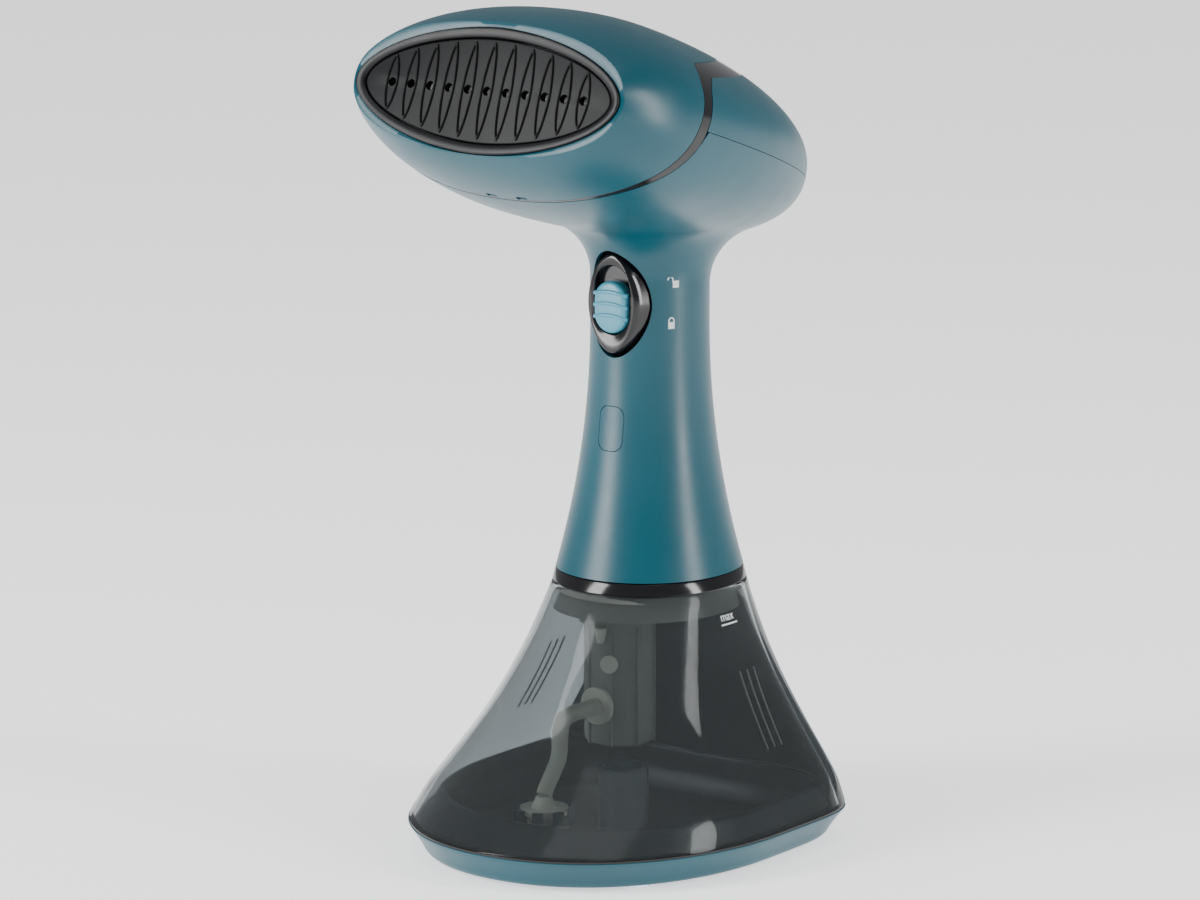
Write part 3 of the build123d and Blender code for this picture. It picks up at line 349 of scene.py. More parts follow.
def finish_piece(piece, material, slot, body, *nodes, angle=35.0):
    """Shade, dress and hand a piece to its body."""
    piece.name = piece.name.replace(" ", "_")
    piece.data.materials.clear()
    piece.data.materials.append(material)
    piece.data.polygons.foreach_set("material_index", [0] * len(piece.data.polygons))
    smooth_by_angle(piece.data, angle)
    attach(piece, body)
    if nodes:
        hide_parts(*nodes)
    return piece


def smooth_by_angle(mesh, angle):
    mesh.shade_smooth()
    mesh.set_sharp_from_angle(angle=radians(angle))


def stadium(t, wide, high_half):
    """A round-ended upright slot outline, by angle."""
    straight = max(high_half - wide, 0.0)
    x, z = wide * cos(t), wide * sin(t)
    return x, z + (straight if sin(t) > 0 else -straight if sin(t) < 0 else 0)


# ---- materials ----
def node_material(name):
    material = bpy.data.materials.get(name)
    if material:
        return material, None, None
    material = bpy.data.materials.new(name)
    material.use_nodes = True
    tree = material.node_tree
    return material, tree, tree.nodes["Principled BSDF"]


def object_noise(tree, scale, detail=3.0, roughness=0.5):
    coordinates = tree.nodes.new("ShaderNodeTexCoord")
    noise = tree.nodes.new("ShaderNodeTexNoise")
    noise.inputs["Scale"].default_value = scale
    noise.inputs["Detail"].default_value = detail
    noise.inputs["Roughness"].default_value = roughness
    tree.links.new(coordinates.outputs["Object"], noise.inputs["Vector"])
    return noise.outputs["Fac"]


def blend_range(tree, source, low_value, high_value, start=0.3, end=0.7):
    ranged = tree.nodes.new("ShaderNodeMapRange")
    ranged.inputs["From Min"].default_value = start
    ranged.inputs["From Max"].default_value = end
    ranged.inputs["To Min"].default_value = low_value
    ranged.inputs["To Max"].default_value = high_value
    tree.links.new(source, ranged.inputs["Value"])
    return ranged.outputs["Result"]


def blend_colour(tree, source, first, second):
    ramp = tree.nodes.new("ShaderNodeValToRGB")
    ramp.color_ramp.elements[0].position = 0.3
    ramp.color_ramp.elements[0].color = first
    ramp.color_ramp.elements[1].position = 0.7
    ramp.color_ramp.elements[1].color = second
    tree.links.new(source, ramp.inputs["Fac"])
    return ramp.outputs["Color"]


def add_bump(tree, shader, source, strength, distance):
    bump = tree.nodes.new("ShaderNodeBump")
    bump.inputs["Strength"].default_value = strength
    bump.inputs["Distance"].default_value = distance
    tree.links.new(source, bump.inputs["Height"])
    tree.links.new(bump.outputs["Normal"], shader.inputs["Normal"])


def shade(colour_value, factor):
    return tuple(min(1.0, c * factor) for c in colour_value[:3]) + (1.0,)


def moulded(name, base, roughness, grain=0.06, grain_scale=2600.0, spread=0.05, coat=0.0, metallic=0.0,
            specular=0.5):
    """Moulded plastic: slight colour drift, uneven polish and a fine surface grain."""
    material, tree, shader = node_material(name)
    if tree is None:
        return material
    drift = object_noise(tree, 28.0, 2.0)
    tree.links.new(blend_colour(tree, drift, shade(base, 1 - spread), shade(base, 1 + spread)),
                   shader.inputs["Base Color"])
    polish = object_noise(tree, 70.0, 5.0, 0.6)
    tree.links.new(blend_range(tree, polish, roughness * 0.92, roughness * 1.10), shader.inputs["Roughness"])
    add_bump(tree, shader, object_noise(tree, grain_scale, 2.0), grain, 0.00002)
    shader.inputs["Metallic"].default_value = metallic
    shader.inputs["Specular IOR Level"].default_value = specular
    shader.inputs["Coat Weight"].default_value = coat
    shader.inputs["Coat Roughness"].default_value = 0.12
    return material


def clear_plastic(name, base, roughness, depth=1.0):
    """See-through moulded plastic with faint flow lines."""
    material, tree, shader = node_material(name)
    if tree is None:
        return material
    drift = object_noise(tree, 14.0, 2.0)
    tree.links.new(blend_colour(tree, drift, shade(base, 0.96), shade(base, 1.04)),
                   shader.inputs["Base Color"])
    streak = object_noise(tree, 60.0, 3.0)
    tree.links.new(blend_range(tree, streak, roughness * 0.8, roughness * 1.3), shader.inputs["Roughness"])
    add_bump(tree, shader, object_noise(tree, 30.0, 2.0), 0.01, 0.00006)
    shader.inputs["Transmission Weight"].default_value = depth
    shader.inputs["IOR"].default_value = 1.18
    return material


def colours():
    return bpy.context.scene.steamer_colours


def sizes():
    return bpy.context.scene.steamer_sizes


def teal_body():
    return moulded("satin teal plastic", tuple(colours().teal), 0.34, grain=0.08, coat=0.0, specular=0.42)


def light_teal():
    return moulded("light teal plastic", tuple(colours().light_teal), 0.34, grain=0.08)


def dark_teal():
    return moulded("dark teal plastic", tuple(colours().dark_teal), 0.42)


def gloss_black():
    return moulded("polished black plastic", tuple(colours().black), 0.14, grain=0.02, specular=0.45)


def satin_black():
    return moulded("satin black rim", shade(tuple(colours().black), 1.2), 0.42, grain=0.12, specular=0.3)


def charcoal_coat():
    return moulded("charcoal plate coating", tuple(colours().charcoal), 0.38, grain=0.20, grain_scale=1500.0,
                   spread=0.10, specular=0.12)


def cream_plastic():
    return moulded("off-white plastic", tuple(colours().cream), 0.40)


def smoke_clear():
    return clear_plastic("smoke tank wall", tuple(colours().smoke), 0.05, 0.955)


def smoke_inner():
    return clear_plastic("smoke inner fittings", (0.42, 0.42, 0.38, 1.0), 0.2, 0.45)


def silicone():
    material, tree, shader = node_material("cream silicone")
    if tree is None:
        return material
    base = tuple(colours().cream)
    tree.links.new(blend_colour(tree, object_noise(tree, 60.0), shade(base, 0.9), shade(base, 1.08)),
                   shader.inputs["Base Color"])
    tree.links.new(blend_range(tree, object_noise(tree, 120.0), 0.28, 0.40), shader.inputs["Roughness"])
    add_bump(tree, shader, object_noise(tree, 900.0), 0.05, 0.00003)
    shader.inputs["Transmission Weight"].default_value = 0.25
    shader.inputs["Subsurface Weight"].default_value = 0.2
    shader.inputs["Subsurface Scale"].default_value = 0.002
    return material


def metal(name, base, roughness, scale=400.0):
    material, tree, shader = node_material(name)
    if tree is None:
        return material
    grain = object_noise(tree, scale, 4.0, 0.6)
    tree.links.new(blend_colour(tree, grain, shade(base, 0.9), shade(base, 1.05)),
                   shader.inputs["Base Color"])
    tree.links.new(blend_range(tree, grain, roughness * 0.8, roughness * 1.2), shader.inputs["Roughness"])
    add_bump(tree, shader, grain, 0.08, 0.00003)
    shader.inputs["Metallic"].default_value = 1.0
    return material


def printed():
    return moulded("printed mark", tuple(colours().mark), 0.45, grain=0.1)


# ---- Geometry Nodes trees ----
def nodes_modifier(piece, tree):
    modifier = piece.modifiers.new(tree.name, "NODES")
    modifier.node_group = tree
    return modifier


def set_inputs(modifier, **values):
    """Set a modifier's inputs by the identifiers of the named sockets."""
    by_name = {item.name: item.identifier for item in modifier.node_group.interface.items_tree
               if item.item_type == "SOCKET" and item.in_out == "INPUT"}
    for name, value in values.items():
        modifier[by_name[name]] = value


def new_tree(name, **sockets):
    tree = bpy.data.node_groups.new(name, "GeometryNodeTree")
    tree.interface.new_socket("Geometry", in_out="INPUT", socket_type="NodeSocketGeometry")
    tree.interface.new_socket("Geometry", in_out="OUTPUT", socket_type="NodeSocketGeometry")
    for socket, kind in sockets.items():
        tree.interface.new_socket(socket, in_out="INPUT", socket_type=kind)
    return tree, tree.nodes.new("NodeGroupInput"), tree.nodes.new("NodeGroupOutput")


def math_node(tree, operation, first, second=None):
    node = tree.nodes.new("ShaderNodeMath")
    node.operation = operation
    for index, value in enumerate((first, second)):
        if value is None:
            continue
        if isinstance(value, (int, float)):
            node.inputs[index].default_value = value
        else:
            tree.links.new(value, node.inputs[index])
    return node.outputs[0]


def end_tree(tree, source, group_in, group_out):
    """Every tree ends in Realize Instances and Set Material."""
    realize = tree.nodes.new("GeometryNodeRealizeInstances")
    dress = tree.nodes.new("GeometryNodeSetMaterial")
    tree.links.new(source, realize.inputs["Geometry"])
    tree.links.new(realize.outputs["Geometry"], dress.inputs["Geometry"])
    tree.links.new(group_in.outputs["Material"], dress.inputs["Material"])
    tree.links.new(dress.outputs["Geometry"], group_out.inputs["Geometry"])


def row_tree():
    """Copies of the input mesh in a row along X, each as tall as an oval plate allows there."""
    tree, source, target = new_tree("Steam row", Count="NodeSocketInt", Pitch="NodeSocketFloat",
                                    Half_Width="NodeSocketFloat", Stretch="NodeSocketBool",
                                    Material="NodeSocketMaterial")
    line = tree.nodes.new("GeometryNodeMeshLine")
    offset = tree.nodes.new("ShaderNodeCombineXYZ")
    start = tree.nodes.new("ShaderNodeCombineXYZ")
    tree.links.new(source.outputs["Pitch"], offset.inputs["X"])
    last = math_node(tree, "SUBTRACT", source.outputs["Count"], 1.0)
    half = math_node(tree, "MULTIPLY", math_node(tree, "MULTIPLY", last, -0.5), source.outputs["Pitch"])
    tree.links.new(half, start.inputs["X"])
    tree.links.new(source.outputs["Count"], line.inputs["Count"])
    tree.links.new(offset.outputs[0], line.inputs["Offset"])
    tree.links.new(start.outputs[0], line.inputs["Start Location"])
    place = tree.nodes.new("GeometryNodeInputPosition")
    split = tree.nodes.new("ShaderNodeSeparateXYZ")
    tree.links.new(place.outputs[0], split.inputs[0])
    share = math_node(tree, "ABSOLUTE", math_node(tree, "DIVIDE", split.outputs["X"],
                                                  source.outputs["Half_Width"]))
    height = math_node(tree, "POWER", math_node(tree, "SUBTRACT", 1.0, math_node(tree, "POWER", share, 1.9)),
                       0.57)
    switch = tree.nodes.new("GeometryNodeSwitch")
    switch.input_type = "FLOAT"
    tree.links.new(source.outputs["Stretch"], switch.inputs["Switch"])
    switch.inputs["False"].default_value = 1.0
    tree.links.new(height, switch.inputs["True"])
    scale = tree.nodes.new("ShaderNodeCombineXYZ")
    scale.inputs["X"].default_value = 1.0
    scale.inputs["Z"].default_value = 1.0
    tree.links.new(switch.outputs["Output"], scale.inputs["Y"])
    copies = tree.nodes.new("GeometryNodeInstanceOnPoints")
    tree.links.new(line.outputs["Mesh"], copies.inputs["Points"])
    tree.links.new(source.outputs["Geometry"], copies.inputs["Instance"])
    tree.links.new(scale.outputs[0], copies.inputs["Scale"])
    end_tree(tree, copies.outputs["Instances"], source, target)
    return tree


def ring_tree():
    """Copies of the input mesh round the Z axis, turned to face outwards."""
    tree, source, target = new_tree("Ring of copies", Count="NodeSocketInt", Material="NodeSocketMaterial")
    points = tree.nodes.new("GeometryNodeMeshLine")
    tree.links.new(source.outputs["Count"], points.inputs["Count"])
    points.inputs["Offset"].default_value = (0.0, 0.0, 0.0)
    index = tree.nodes.new("GeometryNodeInputIndex")
    turn = math_node(tree, "DIVIDE", math_node(tree, "MULTIPLY", math_node(tree, "ADD", index.outputs[0],
                                                                           0.5), 2 * pi),
                     source.outputs["Count"])
    angles = tree.nodes.new("ShaderNodeCombineXYZ")
    tree.links.new(turn, angles.inputs["Z"])
    copies = tree.nodes.new("GeometryNodeInstanceOnPoints")
    tree.links.new(points.outputs["Mesh"], copies.inputs["Points"])
    tree.links.new(source.outputs["Geometry"], copies.inputs["Instance"])
    tree.links.new(angles.outputs[0], copies.inputs["Rotation"])
    end_tree(tree, copies.outputs["Instances"], source, target)
    return tree


def rib_tree():
    """Round ribs along the input's edge lines."""
    tree, source, target = new_tree("Ribs on lines", Radius="NodeSocketFloat", Material="NodeSocketMaterial")
    curve = tree.nodes.new("GeometryNodeMeshToCurve")
    profile = tree.nodes.new("GeometryNodeCurvePrimitiveCircle")
    profile.inputs["Resolution"].default_value = 10
    sweep = tree.nodes.new("GeometryNodeCurveToMesh")
    sweep.inputs["Fill Caps"].default_value = True
    tree.links.new(source.outputs["Geometry"], curve.inputs["Mesh"])
    tree.links.new(source.outputs["Radius"], profile.inputs["Radius"])
    tree.links.new(curve.outputs["Curve"], sweep.inputs["Curve"])
    tree.links.new(profile.outputs["Curve"], sweep.inputs["Profile Curve"])
    end_tree(tree, sweep.outputs["Mesh"], source, target)
    return tree


def run_tree(piece, tree, **values):
    modifier = nodes_modifier(piece, tree)
    set_inputs(modifier, **values)
    return weld(apply_modifiers(piece))


# ---- head ----
def bulge(s, peak, peak_at, face, inset=0.0):
    nose = peak_at / sqrt(1 - (face / peak) ** 2)
    reach = (nose if s < peak_at else HEAD_LENGTH - peak_at) - inset
    return (peak - inset) * sqrt(max(0.0, 1 - ((s - peak_at) / reach) ** 2))


def head_width(s, inset=0.0):
    return bulge(s, WIDEST, WIDEST_AT, FACE_WIDE, inset)


def head_drop(s, inset=0.0):
    return bulge(s, LOWEST, LOWEST_AT, FACE_HIGH, inset)


def head_local(s, t, inset=0.0):
    return oval(t, head_width(s, inset), bulge(s, HIGHEST, HIGHEST_AT, FACE_HIGH, inset), head_drop(s, inset),
                HEAD_POWER)


def head_place(s, x, h):
    return HEAD_FRONT + AXIS * s + RISE * h + Vector((x, 0, 0))


def head_point(s, t, inset=0.0):
    return head_place(s, *head_local(s, t, inset))


def band_edge(edge, chevron):
    """Station along the head as a function of height above its axis, for one edge of the band."""
    table = smooth_line(edge)
    kink = edge[-1]
    slope = (chevron[0] - kink[0]) / (chevron[1] - kink[1])

    def station(h):
        if h <= kink[1]:
            return lookup(table, h, 1, 0)
        return kink[0] + (h - kink[1]) * slope
    return station


FRONT_EDGE = band_edge(BAND_FRONT, CHEVRON_FRONT)
REAR_EDGE = band_edge(BAND_REAR, CHEVRON_REAR)


def edge_station(t, edge):
    return root_of(lambda s: s - edge(head_local(s, t)[1]), 5.0, HEAD_LENGTH)


def face_station(t):
    return root_of(lambda s: (HEAD_FRONT - head_point(s, t)).dot(FACE_OUT), -4.0, 4.0)


def kink_angles():
    """Angles round the head at which the two band edges turn their corners."""
    found = []
    for s, h in (BAND_FRONT[-1], BAND_REAR[-1]):
        t = asin((h / bulge(s, HIGHEST, HIGHEST_AT, FACE_HIGH)) ** (HEAD_POWER / 2))
        found += [t, pi - t]
    return found


def head_angles(count):
    angles = turn_steps(count)
    for kink in kink_angles():
        nearest = min(range(count), key=lambda i: abs(angles[i] - kink))
        angles[nearest] = kink
    return sorted(angles)


def face_point(x, y, depth=0.0):
    """A point on the steam face: x across, y up, depth inwards."""
    return HEAD_FRONT + Vector((x, 0, 0)) + FACE_UP * y - FACE_OUT * depth


def face_ring(angles, wide, high_half, depth):
    return [face_point(*oval(t, wide, high_half, high_half, PLATE_POWER), depth) for t in angles]


def front_shell_profile(t):
    """The closed wall section of the front shell at one angle round the head."""
    first, last = face_station(t), edge_station(t, FRONT_EDGE) - GAP
    recess = oval(t, PLATE_WIDE + RIM_WIDTH + 0.2, PLATE_HIGH + RIM_WIDTH + 0.2, PLATE_HIGH + RIM_WIDTH + 0.2,
                  PLATE_POWER)
    out = [face_point(*recess, 0.35)]
    middle = face_point(*recess, 0).lerp(head_point(first, t), 0.5)
    out.append(middle - FACE_OUT * 0.02)
    for share in steps(26):
        s = mix(first + 0.3, last - 0.25, share ** 1.35)
        out.append(head_point(s, t))
    out.append(head_point(last, t, 0.3))
    out.append(head_point(last, t, SHELL_WALL))
    for share in steps(7)[1:]:
        out.append(head_point(mix(last, 13.0, share), t, SHELL_WALL))
    out.append(face_point(*recess, 11.5))
    out.append(face_point(*recess, 4.0))
    return out


def band_profile(t):
    first, last = edge_station(t, FRONT_EDGE), edge_station(t, REAR_EDGE)
    out = [head_point(first, t, 0.35)]
    for share in steps(7):
        out.append(head_point(mix(first + 0.12, last - 0.12, share), t, 0.12))
    out += [head_point(last, t, 0.35), head_point(last, t, SHELL_WALL), head_point(first, t, SHELL_WALL)]
    return out


def make_front_shell():
    shell = grid("front shell", [front_shell_profile(t) for t in head_angles(288)], True, True)
    cutters = []
    for x in (-6.0, 6.0):
        start = head_place(BAND_FRONT[0][0] - 1.3, x, -30.8)
        cutters.append(box_at("notch", start, 4.2, 2.0, 4.6, AXIS))
    return carve(shell, *cutters)


def box_at(name, middle, across, along, tall, along_axis=Vector((0, 1, 0))):
    side = Vector((1, 0, 0))
    up = side.cross(along_axis)
    corners = [middle + side * (i * across / 2) + along_axis * (j * along / 2) + up * (k * tall / 2)
               for i in (-1, 1) for j in (-1, 1) for k in (-1, 1)]
    faces = [(0, 1, 3, 2), (4, 6, 7, 5), (0, 4, 5, 1), (2, 3, 7, 6), (0, 2, 6, 4), (1, 5, 7, 3)]
    return weld(new_object(name, corners, faces))


def make_trim_band():
    return grid("trim band", [band_profile(t) for t in head_angles(288)], True, True)


def make_top_cover():
    rows = []
    for t in head_angles(288):
        first = edge_station(t, REAR_EDGE) + GAP
        rows.append([head_point(mix(first, HEAD_LENGTH - 0.02, sin(share * pi / 2) ** 0.9),
                                t) for share in steps(64)])
    skin = grid("head top cover", rows, close_rows=True)
    keep_half(skin, head_place(0, 0, SPLIT + 0.1), RISE)
    thicken(weld(skin), SHELL_WALL)
    return skin


# ---- handle and lower head, one moulding ----
def handle_radius(z):
    share = min(max((z - Z_HANDLE) / HANDLE_LENGTH, 0), TAPER_SHARE)
    return GRIP_RADIUS + (FOOT_RADIUS - GRIP_RADIUS) * (1 - share / TAPER_SHARE) ** 2


def handle_reach(z, angle, inset=0.0):
    """Distance from the handle axis to its skin in a direction."""
    r = handle_radius(z)
    n = HANDLE_POWER
    wide, deep = r * WIDE - inset, r * DEEP - inset
    return (abs(cos(angle) / wide) ** n + abs(sin(angle) / deep) ** n) ** (-1 / n)


def handle_point(z, angle, inset=0.0):
    r = handle_reach(z, angle, inset)
    return Vector((r * cos(angle), HANDLE_Y + r * sin(angle), z))


def underside(x, s):
    """Height of the head's lower skin below its axis, or None off its edge."""
    width = head_width(s)
    if s >= HEAD_LENGTH or abs(x) >= width:
        return None
    return -head_drop(s) * (1 - (abs(x) / width) ** HEAD_POWER) ** (1 / HEAD_POWER)


def underside_ray(centre, turn):
    """The lower skin from over the handle axis out to the edge of the moulding, in one direction."""
    def outside(reach):
        x, s = reach * cos(turn), centre + reach * sin(turn)
        h = underside(x, s)
        if h is None:
            return 1.0
        return max(h - (SPLIT - 0.1), REAR_EDGE(h) + GAP - s)
    end = root_of(outside, 1.0, 130.0)
    out = []
    for share in steps(240):
        reach = end * sin(share * pi / 2)
        x, s = reach * cos(turn), centre + reach * sin(turn)
        h = underside(x, s)
        out.append(head_place(s, x, SPLIT - 0.1 if h is None else min(h, SPLIT - 0.1)))
    return out


def flat(point):
    return sqrt(point.x ** 2 + (point.y - HANDLE_Y) ** 2)


def neck_column(centre, turn):
    """One line of the moulding: up the handle, round the neck fillet and out under the head."""
    ray = underside_ray(centre, turn)
    angle = turn
    for _ in range(3):
        grip = handle_reach(Z_NECK, angle)
        hub = grip + NECK_FILLET
        drops = [(p.z - sqrt(NECK_FILLET ** 2 - (flat(p) - hub) ** 2), i) for i, p in enumerate(ray)
                 if abs(flat(p) - hub) < NECK_FILLET]
        hub_z, touch = min(drops)
        end = ray[touch]
        angle = atan2(end.y - HANDLE_Y, end.x)
    out = [handle_point(mix(Z_HANDLE + 0.05, hub_z, share), angle) for share in steps(62)]
    last = atan2(end.z - hub_z, flat(end) - hub)
    count = 16
    for k in range(1, count):
        a = mix(pi, last, k / count)
        r = hub + NECK_FILLET * cos(a)
        out.append(Vector((r * cos(angle), HANDLE_Y + r * sin(angle), hub_z + NECK_FILLET * sin(a))))
    return out + resample(ray[touch:], 40)


def make_main_housing():
    centre = 90.0
    for _ in range(20):
        centre = (90.0 + head_drop(centre) * sin(radians(HEAD_TILT))) / cos(radians(HEAD_TILT))
    rows = [neck_column(centre, turn - pi / 2) for turn in turn_steps(300)]
    housing = grid("main housing", rows, close_rows=True)
    thicken(housing, SHELL_WALL)
    cover = rear_cover_block("rear cover opening", 0.15)
    window = trigger_block("trigger window")
    lens = lens_block("lens opening", 0.12)
    return carve(housing, cover, window, lens)


def prism_along_y(name, outline, y0, y1):
    """A closed prism along Y from an outline of (x, z) points."""
    return grid(name, [[(x, y, z) for x, z in outline] for y in (y0, y1)], close_columns=True, cap_ends=True)


def rounded_box(wide, tall, corner, middle_z, count=10):
    """Outline of a rectangle with round corners, as (x, z) points."""
    out = []
    for quarter, (sx, sz) in enumerate(((1, 1), (-1, 1), (-1, -1), (1, -1))):
        for share in steps(count):
            a = (quarter + share) * pi / 2
            out.append((sx * (wide / 2 - corner) + corner * cos(a),
                        middle_z + sz * (tall / 2 - corner) + corner * sin(a)))
    return out


COVER_Z0, COVER_Z1 = Z_HANDLE + 3.5, Z_NECK - 32.0
COVER_HALF_WIDTH = 11.0


def rear_cover_block(name, margin):
    outline = rounded_box(2 * (COVER_HALF_WIDTH + margin), COVER_Z1 - COVER_Z0 + 2 * margin, 6.0,
                          (COVER_Z0 + COVER_Z1) / 2)
    return prism_along_y(name, outline, HANDLE_Y + 6, HANDLE_Y + 60)


def lens_block(name, margin):
    outline = rounded_box(9.6 + 2 * margin, 14.8 + 2 * margin, 3.4, LENS_MIDDLE)
    return prism_along_y(name, outline, HANDLE_Y - 60, HANDLE_Y - 10)


def trigger_block(name):
    outline = [oval(t, 12.35, 18.1, 18.1, 1.85) for t in turn_steps(96)]
    return prism_along_y(name, [(x, z + TRIGGER_MIDDLE - 0.15) for x, z in outline], HANDLE_Y - 40,
                         HANDLE_Y - 8)


def handle_patch(name, outline, rear):
    """A piece of the handle wall inside an outline of (x, z) points."""
    rings = [1.0, 0.985, 0.93, 0.8, 0.6, 0.35]
    cx = sum(x for x, _ in outline) / len(outline)
    cz = sum(z for _, z in outline) / len(outline)
    side = 1 if rear else -1

    def lift(x, z, inset):
        r = handle_radius(z)
        wide, deep = r * WIDE - inset, r * DEEP - inset
        return Vector((x, HANDLE_Y + side * deep * (1 - abs(x / wide) ** HANDLE_POWER) ** (1 / HANDLE_POWER),
                       z))
    rows = []
    for inset, order in ((SHELL_WALL, rings[::-1]), (0.0, rings)):
        for ring in order:
            dip = 0.15 if ring == 1.0 and inset == 0.0 else 0.0
            rows.append([lift(mix(cx, x, ring), mix(cz, z, ring), inset + dip) for x, z in outline])
    return grid(name, rows, close_columns=True, cap_ends=True)


# ---- operators: one for each piece or group of like pieces ----
class STEAMER_OT_head(bpy.types.Operator):
    """Front shell, trim band and top cover of the head"""
    bl_idname = "steamer.head"
    bl_label = "Head shells"

    def execute(self, context):
        finish_piece(make_front_shell(), teal_body(), "teal_plastic", "handle_unit", "front_shell")
        finish_piece(make_trim_band(), gloss_black(), "gloss_black", "handle_unit", "trim_band")
        finish_piece(make_top_cover(), teal_body(), "teal_plastic", "handle_unit", "head_top_cover")
        return {"FINISHED"}


class STEAMER_OT_housing(bpy.types.Operator):
    """Handle and lower head in one moulding, with its rear cover"""
    bl_idname = "steamer.housing"
    bl_label = "Handle housing"

    def execute(self, context):
        finish_piece(make_main_housing(), teal_body(), "teal_plastic", "handle_unit", "main_housing")
        outline = rounded_box(2 * COVER_HALF_WIDTH, COVER_Z1 - COVER_Z0, 6.0, (COVER_Z0 + COVER_Z1) / 2, 14)
        cover = handle_patch("handle rear cover", dense(outline), True)
        holes = []
        for z, radius in ((low("cable_gland").z / 2 + high("cable_gland").z / 2, 5.1), *((z, 3.0) for z in screw_heights())):
            ring = [(radius * cos(t), z + radius * sin(t)) for t in turn_steps(40)]
            holes.append(prism_along_y("hole", ring, HANDLE_Y + 5, HANDLE_Y + 60))
        carve(cover, *holes)
        finish_piece(cover, teal_body(), "teal_plastic", "handle_unit", "handle_rear_cover")
        return {"FINISHED"}


def screw_heights():
    """Heights of the two cover screws, from the corners of their shared box."""
    return (low("cover_screws").z + 2.8, high("cover_screws").z - 2.8)


def dense(outline, longest=1.6):
    """The same outline with no edge longer than a given length."""
    out = []
    for (x0, z0), (x1, z1) in zip(outline, outline[1:] + outline[:1]):
        parts = max(1, int(sqrt((x1 - x0) ** 2 + (z1 - z0) ** 2) / longest))
        out += [(mix(x0, x1, k / parts), mix(z0, z1, k / parts)) for k in range(parts)]
    return out


class STEAMER_OT_lens(bpy.types.Operator):
    """Indicator window in the front of the handle"""
    bl_idname = "steamer.lens"
    bl_label = "Indicator lens"

    def execute(self, context):
        outline = dense(rounded_box(9.6, 14.8, 3.4, LENS_MIDDLE), 1.0)
        finish_piece(handle_patch("indicator lens", outline, False), teal_body(), "teal_lens", "handle_unit",
                     "indicator_lens")
        return {"FINISHED"}


class STEAMER_OT_face(bpy.types.Operator):
    """Rim, steam plate with its holes, and the leaf ridges round them"""
    bl_idname = "steamer.face"
    bl_label = "Steam face"

    def execute(self, context):
        angles = turn_steps(192)
        outer = (PLATE_WIDE + RIM_WIDTH, PLATE_HIGH + RIM_WIDTH)
        sections = [(0.0, 6.8), (0.0, 0.2), (0.08, -0.25), (0.3, -0.5), (0.7, -0.6), (1.9, -0.45), (2.75,
                                                                                                    -0.15),
                    (3.05, 0.1), (3.2, 0.4), (3.3, 0.8), (3.3, 3.3), (4.9, 3.4), (4.9, 6.8)]
        rows = [face_ring(angles, outer[0] - step, outer[1] - step, depth) for step, depth in sections]
        rim = grid("plate rim", rows, close_rows=True, close_columns=True)
        finish_piece(rim, satin_black(), "satin_black", "handle_unit", "plate_rim")

        edge = (0.15, 0.25, 0.45, 0.8)
        depths = (3.0, 0.85, 0.58, 0.5)
        rows = [face_ring(angles, PLATE_WIDE - a, PLATE_HIGH - a, d) for a, d in zip(edge, depths)]
        plate = grid("steam plate", rows, close_columns=True, cap_ends=True)
        setup = sizes()
        row = row_tree()
        bores = new_object("bores", [(1.5 * cos(t), 1.5 * sin(t), z) for z in (-6,
                                                                               3) for t in turn_steps(24)],
                           [(k, (k + 1) % 24, 24 + (k + 1) % 24, 24 + k) for k in range(24)]
                           + [tuple(range(24))[::-1], tuple(range(24, 48))])
        run_tree(bores, row, Count=setup.leaf_count, Pitch=setup.leaf_pitch * MM, Half_Width=PLATE_WIDE * MM,
                 Stretch=False, Material=charcoal_coat())
        to_face(bores)
        carve(plate, bores)
        leaf = make_leaf()
        run_tree(leaf, row, Count=setup.leaf_count, Pitch=setup.leaf_pitch * MM, Half_Width=PLATE_WIDE * MM,
                 Stretch=True, Material=charcoal_coat())
        to_face(leaf)
        finish_piece(join("steam plate", [plate, leaf]), charcoal_coat(), "plate_charcoal", "handle_unit",
                     "steam_plate", angle=50)
        return {"FINISHED"}


def to_face(piece):
    """Move a mesh made flat on the XY plane onto the steam face."""
    place = Matrix.Translation(HEAD_FRONT * MM) @ Matrix((Vector((1, 0, 0)), FACE_UP,
                                                          FACE_OUT)).transposed().to_4x4()
    piece.data.transform(place)


def make_leaf():
    """A raised leaf outline round a steam hole, flat on the XY plane."""
    half_long, half_wide = 0.93 * PLATE_HIGH, 2.35
    sections = [(0.0, -0.62), (0.0, -0.30), (0.12, -0.04), (0.34, 0.06), (0.56, -0.04), (0.74, -0.30), (0.78, -0.62)]
    rows = []
    for t in turn_steps(64):
        ring = []
        for step, z in sections:
            x, y = oval(t, half_wide - step, half_long - step * 2.4, half_long - step * 2.4, 1.6)
            ring.append((x, y, z))
        rows.append(ring)
    return grid("leaf", rows, close_rows=True, close_columns=True)


TRIGGER_WIDE, TRIGGER_HIGH = 11.9, 17.2
TRIGGER_FACE_WIDE, TRIGGER_FACE_HIGH = 9.95, 16.8
HANDLE_FRONT = HANDLE_Y - GRIP_RADIUS * DEEP
TRIGGER_FACE = HANDLE_FRONT - 1.5
TRIGGER_BACK = HANDLE_FRONT + 7.6
SLOT_WIDE, SLOT_HIGH, SLOT_DEPTH = 6.85, 11.4, 3.4
SLOT_MIDDLE = TRIGGER_MIDDLE + 1.3
SLIDER_MIDDLE = (low("lock_slider").z + high("lock_slider").z) / 2
SLIDER_WIDE, SLIDER_HIGH = 6.5, 8.7


